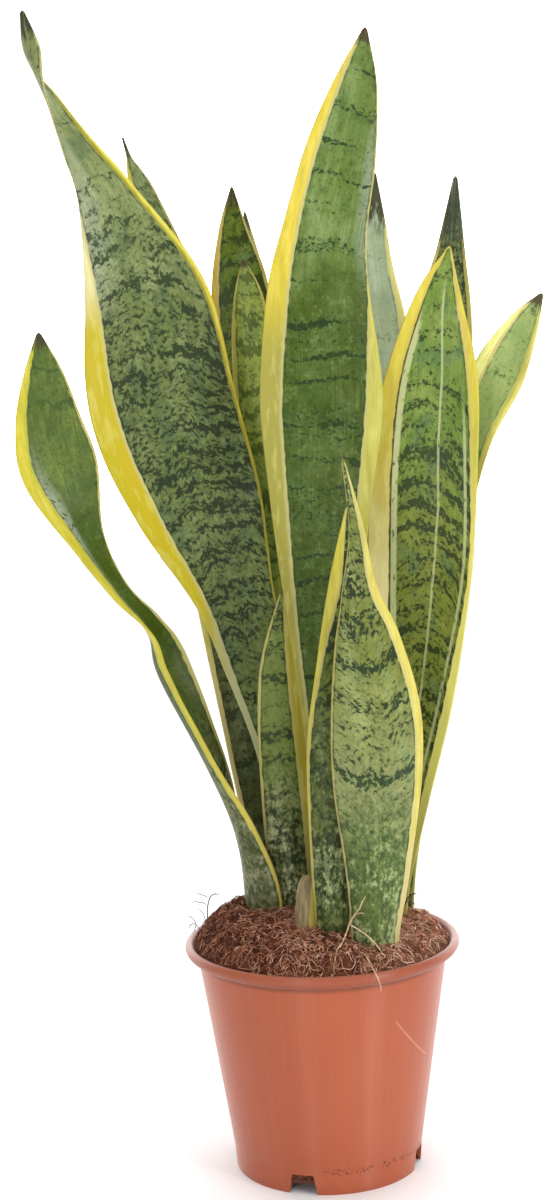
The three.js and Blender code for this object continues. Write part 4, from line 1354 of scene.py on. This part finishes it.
@dataclass
class Soil:
    """The heaped compost and the loose fibres on it. Lengths are in millimetres."""

    top: float = 118.0
    outer: float = 65.1
    heap: float = 12.0
    tilt: float = 5.0
    gap: float = 0.3
    across: int = 170
    depths: Sequence[float] = (108.0, 104.0, 60.0, 12.0, 7.2)
    fibres: Sequence[Fibres] = (
        Fibres("long_fibres", 3200, (7, 19), (0.1, 0.21), 2.2, 9, 7),
        Fibres("short_fibres", 1800, (2.5, 6), (0.16, 0.34), 2.4, 6, 8),
    )
    pot: Pot = field(default_factory=Pot)

    def height(self, x: float, y: float) -> float:
        """Gives the compost's height at a place, without its crumbs.

        Args:
            x: distance to the right of the pot's axis.
            y: distance behind it.

        Returns:
            The height.
        """
        share = min(1.0, math.hypot(x, y) / self.outer)
        lump = (
            0.9 * math.sin(x / 4.1 + 1.3 * math.sin(y / 6.3))
            + 0.8 * math.sin(y / 3.7 + 1.1 * math.sin(x / 5.2) + 2)
            + 0.6 * math.sin((x + y) / 2.6 + 0.7) * math.sin((x - y) / 3.1)
        )
        heap = self.heap * (1 - 0.42 * share**2) - 9.5 * share**9
        lean = self.tilt * (0.6 * y - 0.8 * x) / 60 * (1 - 0.6 * share**6)
        return self.top + heap + lean + lump

    def surface(self) -> Mesh:
        """Shapes a round crumbly top and closes it down to the pot's floor.

        Returns:
            The closed mesh.
        """
        mesh, lines = grid(self.across, self.across)
        for point in (point for line in lines for point in line):
            a, b = point.co.x, point.co.y
            x = a * math.sqrt(1 - b * b / 2) * self.outer
            y = b * math.sqrt(1 - a * a / 2) * self.outer
            share = math.hypot(x, y) / self.outer
            crumbs = noise.fractal(Vector((x / 3.2, y / 3.2, 1.7)), 0.8, 2.1, 4) * 1.5
            crumbs += abs(noise.noise(Vector((x / 1.3, y / 1.3, 8.1)))) * 0.9 - 0.3
            z = self.height(x, y) + crumbs * (1 - 0.75 * share**8)
            point.co = Vector((x, y, z)) * MM
        rim = [e for e in mesh.edges if e.is_boundary]
        for z in self.depths:
            made = bmesh.ops.extrude_edge_only(mesh, edges=rim)["geom"]
            radius = self.pot.inner(z) - self.gap
            for point in (p for p in made if isinstance(p, Point)):
                flat = Vector((point.co.x, point.co.y)).normalized() * radius
                point.co = Vector((flat.x, flat.y, z)) * MM
            rim = [e for e in made if isinstance(e, bmesh.types.BMEdge)]
        bmesh.ops.holes_fill(mesh, edges=rim, sides=0)
        bmesh.ops.recalc_face_normals(mesh, faces=mesh.faces[:])
        return mesh

    def curl(self, dice: random.Random, length: float, kind: Fibres) -> list[Vector]:
        """Lets one fibre wander over the compost.

        Args:
            dice: the source of chance.
            length: its length.
            kind: the kind of fibre.

        Returns:
            Its points in metres.
        """
        radius = self.outer * math.sqrt(dice.random()) * 0.975
        turn = dice.uniform(0, FULL_TURN)
        x, y = radius * math.cos(turn), radius * math.sin(turn)
        heading, bend = dice.uniform(0, FULL_TURN), dice.uniform(-0.9, 0.9)
        rise = dice.uniform(0.1, 1.0) * kind.lift
        last = kind.points - 1
        path = []
        for step in range(kind.points):
            z = self.height(x, y) + 0.35 + rise * math.sin(math.pi * (step / last))
            path.append(Vector((x, y, z)) * MM)
            bend += dice.uniform(-0.6, 0.6)
            heading += bend
            x += math.cos(heading) * length / last
            y += math.sin(heading) * length / last
            past = max(1.0, math.hypot(x, y) / (self.outer - 0.6))
            x, y = x / past, y / past
        return path

    def scatter(self, kind: Fibres) -> Mesh:
        """Strews fibres over the compost.

        Args:
            kind: the kind of fibre.

        Returns:
            All of them as one mesh.
        """
        dice = random.Random(kind.seed)
        paths = [self.curl(dice, dice.uniform(*kind.length), kind) for _ in range(kind.count)]
        radii = [dice.uniform(*kind.radius) * MM for _ in range(kind.count)]
        shades = [dice.random() ** 1.3 for _ in range(kind.count)]
        return strands(paths, radii, kind.sides, shades)

    def build(self) -> None:
        """Makes the compost and its fibres."""
        compost = SoilFinish().material("coir_compost")
        put("coir_compost", self.surface(), compost, ["soil"])
        skin = FibreFinish().material("coir_fibre")
        for kind in self.fibres:
            put(kind.name, self.scatter(kind), skin, ["soil"])


@dataclass(frozen=True)
class RootFinish:
    """Pale living roots or dark wiry hairs."""

    skin: str
    shade: str

    def material(self, name: str) -> Material:
        """Builds a root's blotched skin.

        Args:
            name: the material's name.

        Returns:
            The material.
        """
        g = Graph(name)
        x, y, z = g.place()
        blotch = g.noise(x * 0.6, y * 0.6, z * 0.6, 3, 0.6)
        colour = g.mix(blotch.step(0.4, 0.68), self.skin, self.shade)
        return g.skin(colour, 0.6 + blotch * 0.2, blotch, 0.0003, 0.6, 0.3)


@dataclass(frozen=True)
class LooseRoots:
    """Roots that stand out from the compost, each as its radius and its marks in millimetres."""

    name: str
    finish: RootFinish
    roots: Sequence[tuple[float, Sequence[Place]]]
    points: int = 22
    sides: int = 7

    def path(self, marks: Sequence[Place]) -> list[Vector]:
        """Runs a smooth line, in metres, through marks."""
        shares = (step / (self.points - 1) for step in range(self.points))
        return [Vector(spline(marks, share)) * MM for share in shares]

    def build(self) -> None:
        """Makes the roots as one piece."""
        paths = [self.path(marks) for _, marks in self.roots]
        radii = [radius * MM for radius, _ in self.roots]
        mesh = strands(paths, radii, self.sides, [0.5] * len(paths))
        put(self.name, mesh, self.finish.material(self.name))


ROOTS: tuple[LooseRoots, ...] = (
    LooseRoots("pale_roots", RootFinish("d9c09a", "a97f5c"), (
        (0.34, ((12, -44.5, 137.5), (15, -47, 136.2), (21.2, -48.5, 131.9), (26, -48.5, 126.6),
            (29.2, -46.5, 121.4))),
        (0.34, ((14, -45, 139.4), (11, -47.5, 133), (8.4, -49.5, 128.2), (6.4, -50.5, 126.2),
            (5.4, -54, 123.6), (4.4, -59, 120.8), (4, -62.5, 117.6))),
        (0.32, ((16.5, -49, 124.6), (19.6, -54, 124.2), (22, -61, 121.4), (23.6, -67, 119.4),
            (24.9, -70.6, 117.4), (26, -71.2, 113.6), (26.3, -71.2, 110.2))),
        (0.3, ((22.2, -45, 152), (19.6, -46.2, 148.7), (18, -46.6, 145.4), (15.4, -46.8, 142),
            (13, -46.2, 138), (10, -46, 131))),
        (0.24, ((15.5, -46.8, 142), (17.8, -47, 143), (20.4, -46.6, 142.6))),
    )),
    LooseRoots("wiry_hairs", RootFinish("5f4636", "3a261b"), (
        (0.3, ((-58.4, -8, 121), (-58, -8, 128), (-57.7, -8, 135.2), (-57.2, -8, 139.3),
            (-55.6, -8, 143.4), (-53, -8, 144.4), (-50.5, -8.5, 143.5))),
        (0.22, ((-57.4, -8, 138.2), (-59.2, -8.5, 140), (-61.3, -8, 140.3), (-63.8, -7.5, 140.6),
            (-66.3, -7, 140))),
        (0.2, ((-63.6, -6, 145.5), (-61.1, -7, 144.2), (-58.8, -7.6, 143.6), (-56.8, -8, 142.1))),
        (0.22, ((-67.5, -12, 126.8), (-66.8, -10, 129), (-64.3, -8, 129.2), (-61.8, -8, 126),
            (-59.9, -8, 121.5))),
        (0.2, ((-62.8, -9, 137.9), (-60.2, -8, 135), (-59.1, -7, 131.1), (-58.4, -8, 126))),
        (0.2, ((-66, -2, 122), (-64, -3, 127.5), (-66, -4, 131.5), (-68.4, -5, 132.2))),
        (0.35, ((41, 4, 124), (42.6, 2, 131.4), (44.8, 1, 136.6), (46.8, 1, 138.1),
            (49.9, 2, 138.5))),
        (0.24, ((43.6, 1.6, 134.2), (46.2, 0, 134.4), (48.4, -1, 133.2))),
    )),
)


@dataclass(frozen=True)
class Rootstock:
    """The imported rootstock, which keeps its shape and gets a finer skin."""

    skin: str = "c9a27a"
    scar: str = "8a6244"

    def dress(self) -> None:
        """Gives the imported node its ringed, blotched skin."""
        g = Graph("rootstock_skin")
        x, y, z = g.place()
        blotch = g.noise(x * 0.12, y * 0.12, z * 0.12, 4, 0.65)
        rings = g.maths("SINE", (x + y * 0.6) * 0.9 + blotch * 5) * 0.5 + 0.5
        colour = g.mix((blotch * 0.7 + rings * 0.35).step(0.4, 0.75), self.skin, self.scar)
        material = g.skin(colour, 0.7 + blotch * 0.2, rings * 0.5 + blotch, 0.001, 0.7, 0.3)
        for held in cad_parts["rootstock"].material_slots:
            held.material = material
        log.info("rootstock: dressed as packed")


# ---- studio ----


@dataclass(frozen=True)
class Lamp:
    """A soft rectangular studio lamp, aimed at a point. Lengths are in metres."""

    name: str
    place: Place
    aim: Place
    size: tuple[float, float]
    watts: float

    def build(self) -> None:
        """Hangs the lamp."""
        data = bpy.data.lights.new(self.name, "AREA")
        data.shape, data.size, data.size_y = "RECTANGLE", self.size[0], self.size[1]
        data.energy = self.watts
        lamp = link(self.name, data)
        lamp.location = self.place
        lamp.rotation_mode = "QUATERNION"
        lamp.rotation_quaternion = (Vector(self.aim) - Vector(self.place)).to_track_quat("-Z", "Y")


@dataclass(frozen=True)
class Studio:
    """Camera, pale floor and soft light. Lengths are in metres, angles in degrees."""

    eye: Place = (-0.0177, -1.0, 0.415)
    pitch: float = 7.0
    roll: float = 2.0
    lens: float = 60.3
    film: float = 36.0
    clip: tuple[float, float] = (0.01, 100.0)
    floor_radius: float = 3.2
    ambient: float = 0.36
    backdrop: float = 2.4
    ceiling: float = 0.6
    white: str = "ffffff"
    off_white: str = "fcfcfc"
    lamps: tuple[Lamp, ...] = (
        Lamp("left_softbox", (-0.55, -1.6, 0.95), (0.0, 0.0, 0.3), (0.5, 1.3), 1.0),
        Lamp("left_strip", (-0.45, -1.3, 0.35), (0.0, 0.0, 0.06), (0.05, 0.7), 3.0),
        Lamp("right_softbox", (1.3, -1.1, 0.85), (0.0, 0.0, 0.3), (0.5, 1.3), 7.5),
        Lamp("right_strip", (1.0, -1.0, 0.35), (0.0, 0.0, 0.06), (0.05, 0.7), 4.0),
        Lamp("top_softbox", (0.0, 0.1, 2.1), (0.0, 0.0, 0.0), (2.0, 1.6), 18.0),
    )

    def camera(self) -> None:
        """Sets up the camera at the photograph's angle."""
        data = bpy.data.cameras.new("camera")
        data.sensor_fit, data.sensor_height, data.sensor_width = "VERTICAL", self.film, self.film
        data.lens, (data.clip_start, data.clip_end) = self.lens, self.clip
        holder = link("camera", data)
        holder.matrix_world = (
            Matrix.Translation(self.eye)
            @ Matrix.Rotation(math.radians(90 - self.pitch), 4, "X")
            @ Matrix.Rotation(math.radians(-self.roll), 4, "Z")
        )
        bpy.context.scene.camera = holder

    def floor(self) -> None:
        """Lays the plain pale floor."""
        mesh = bmesh.new()
        bmesh.ops.create_circle(mesh, cap_ends=True, segments=96, radius=self.floor_radius)
        floor = hold("floor", mesh)
        g = Graph("floor")
        x, y, _ = g.place()
        soft = g.noise(x * 0.004, y * 0.004, 0, 2)
        colour = g.mix(soft * 0.3, self.white, self.off_white)
        floor.data.materials.append(g.skin(colour, 0.8 + soft * 0.05, soft, 0.0001, 0.1))

    def sky(self) -> None:
        """Surrounds everything with a pale light that is brightest behind the plant."""
        g = Graph("surround", surround=True)
        _, back, up = g.split(g.node("TexCoord").outputs["Generated"])
        wall = back.step(0.1, 0.75) * up.step(0.8, 0.4)
        light = self.ambient + wall * self.backdrop + up.step(0.5, 1) * self.ceiling
        glow = g.node("Background", {"Color": self.white, "Strength": light})
        g.node("OutputWorld", {"Surface": glow.outputs[0]})
        bpy.context.scene.world = g.material

    def build(self) -> None:
        """Sets the whole studio."""
        bpy.context.scene.view_settings.view_transform = "Standard"
        self.camera()
        self.floor()
        self.sky()
        for lamp in self.lamps:
            lamp.build()
        log.info("studio: camera, floor and %d lamps", len(self.lamps))


def main() -> None:
    """Builds every piece in order."""
    logging.basicConfig(level=logging.INFO, format="%(name)s: %(message)s")
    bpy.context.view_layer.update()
    Studio().build()
    Pot().build()
    Soil().build()
    for roots in ROOTS:
        roots.build()
    Rootstock().dress()
    for leaf in LEAVES:
        leaf.build()


if __name__ == "__main__":
    main()
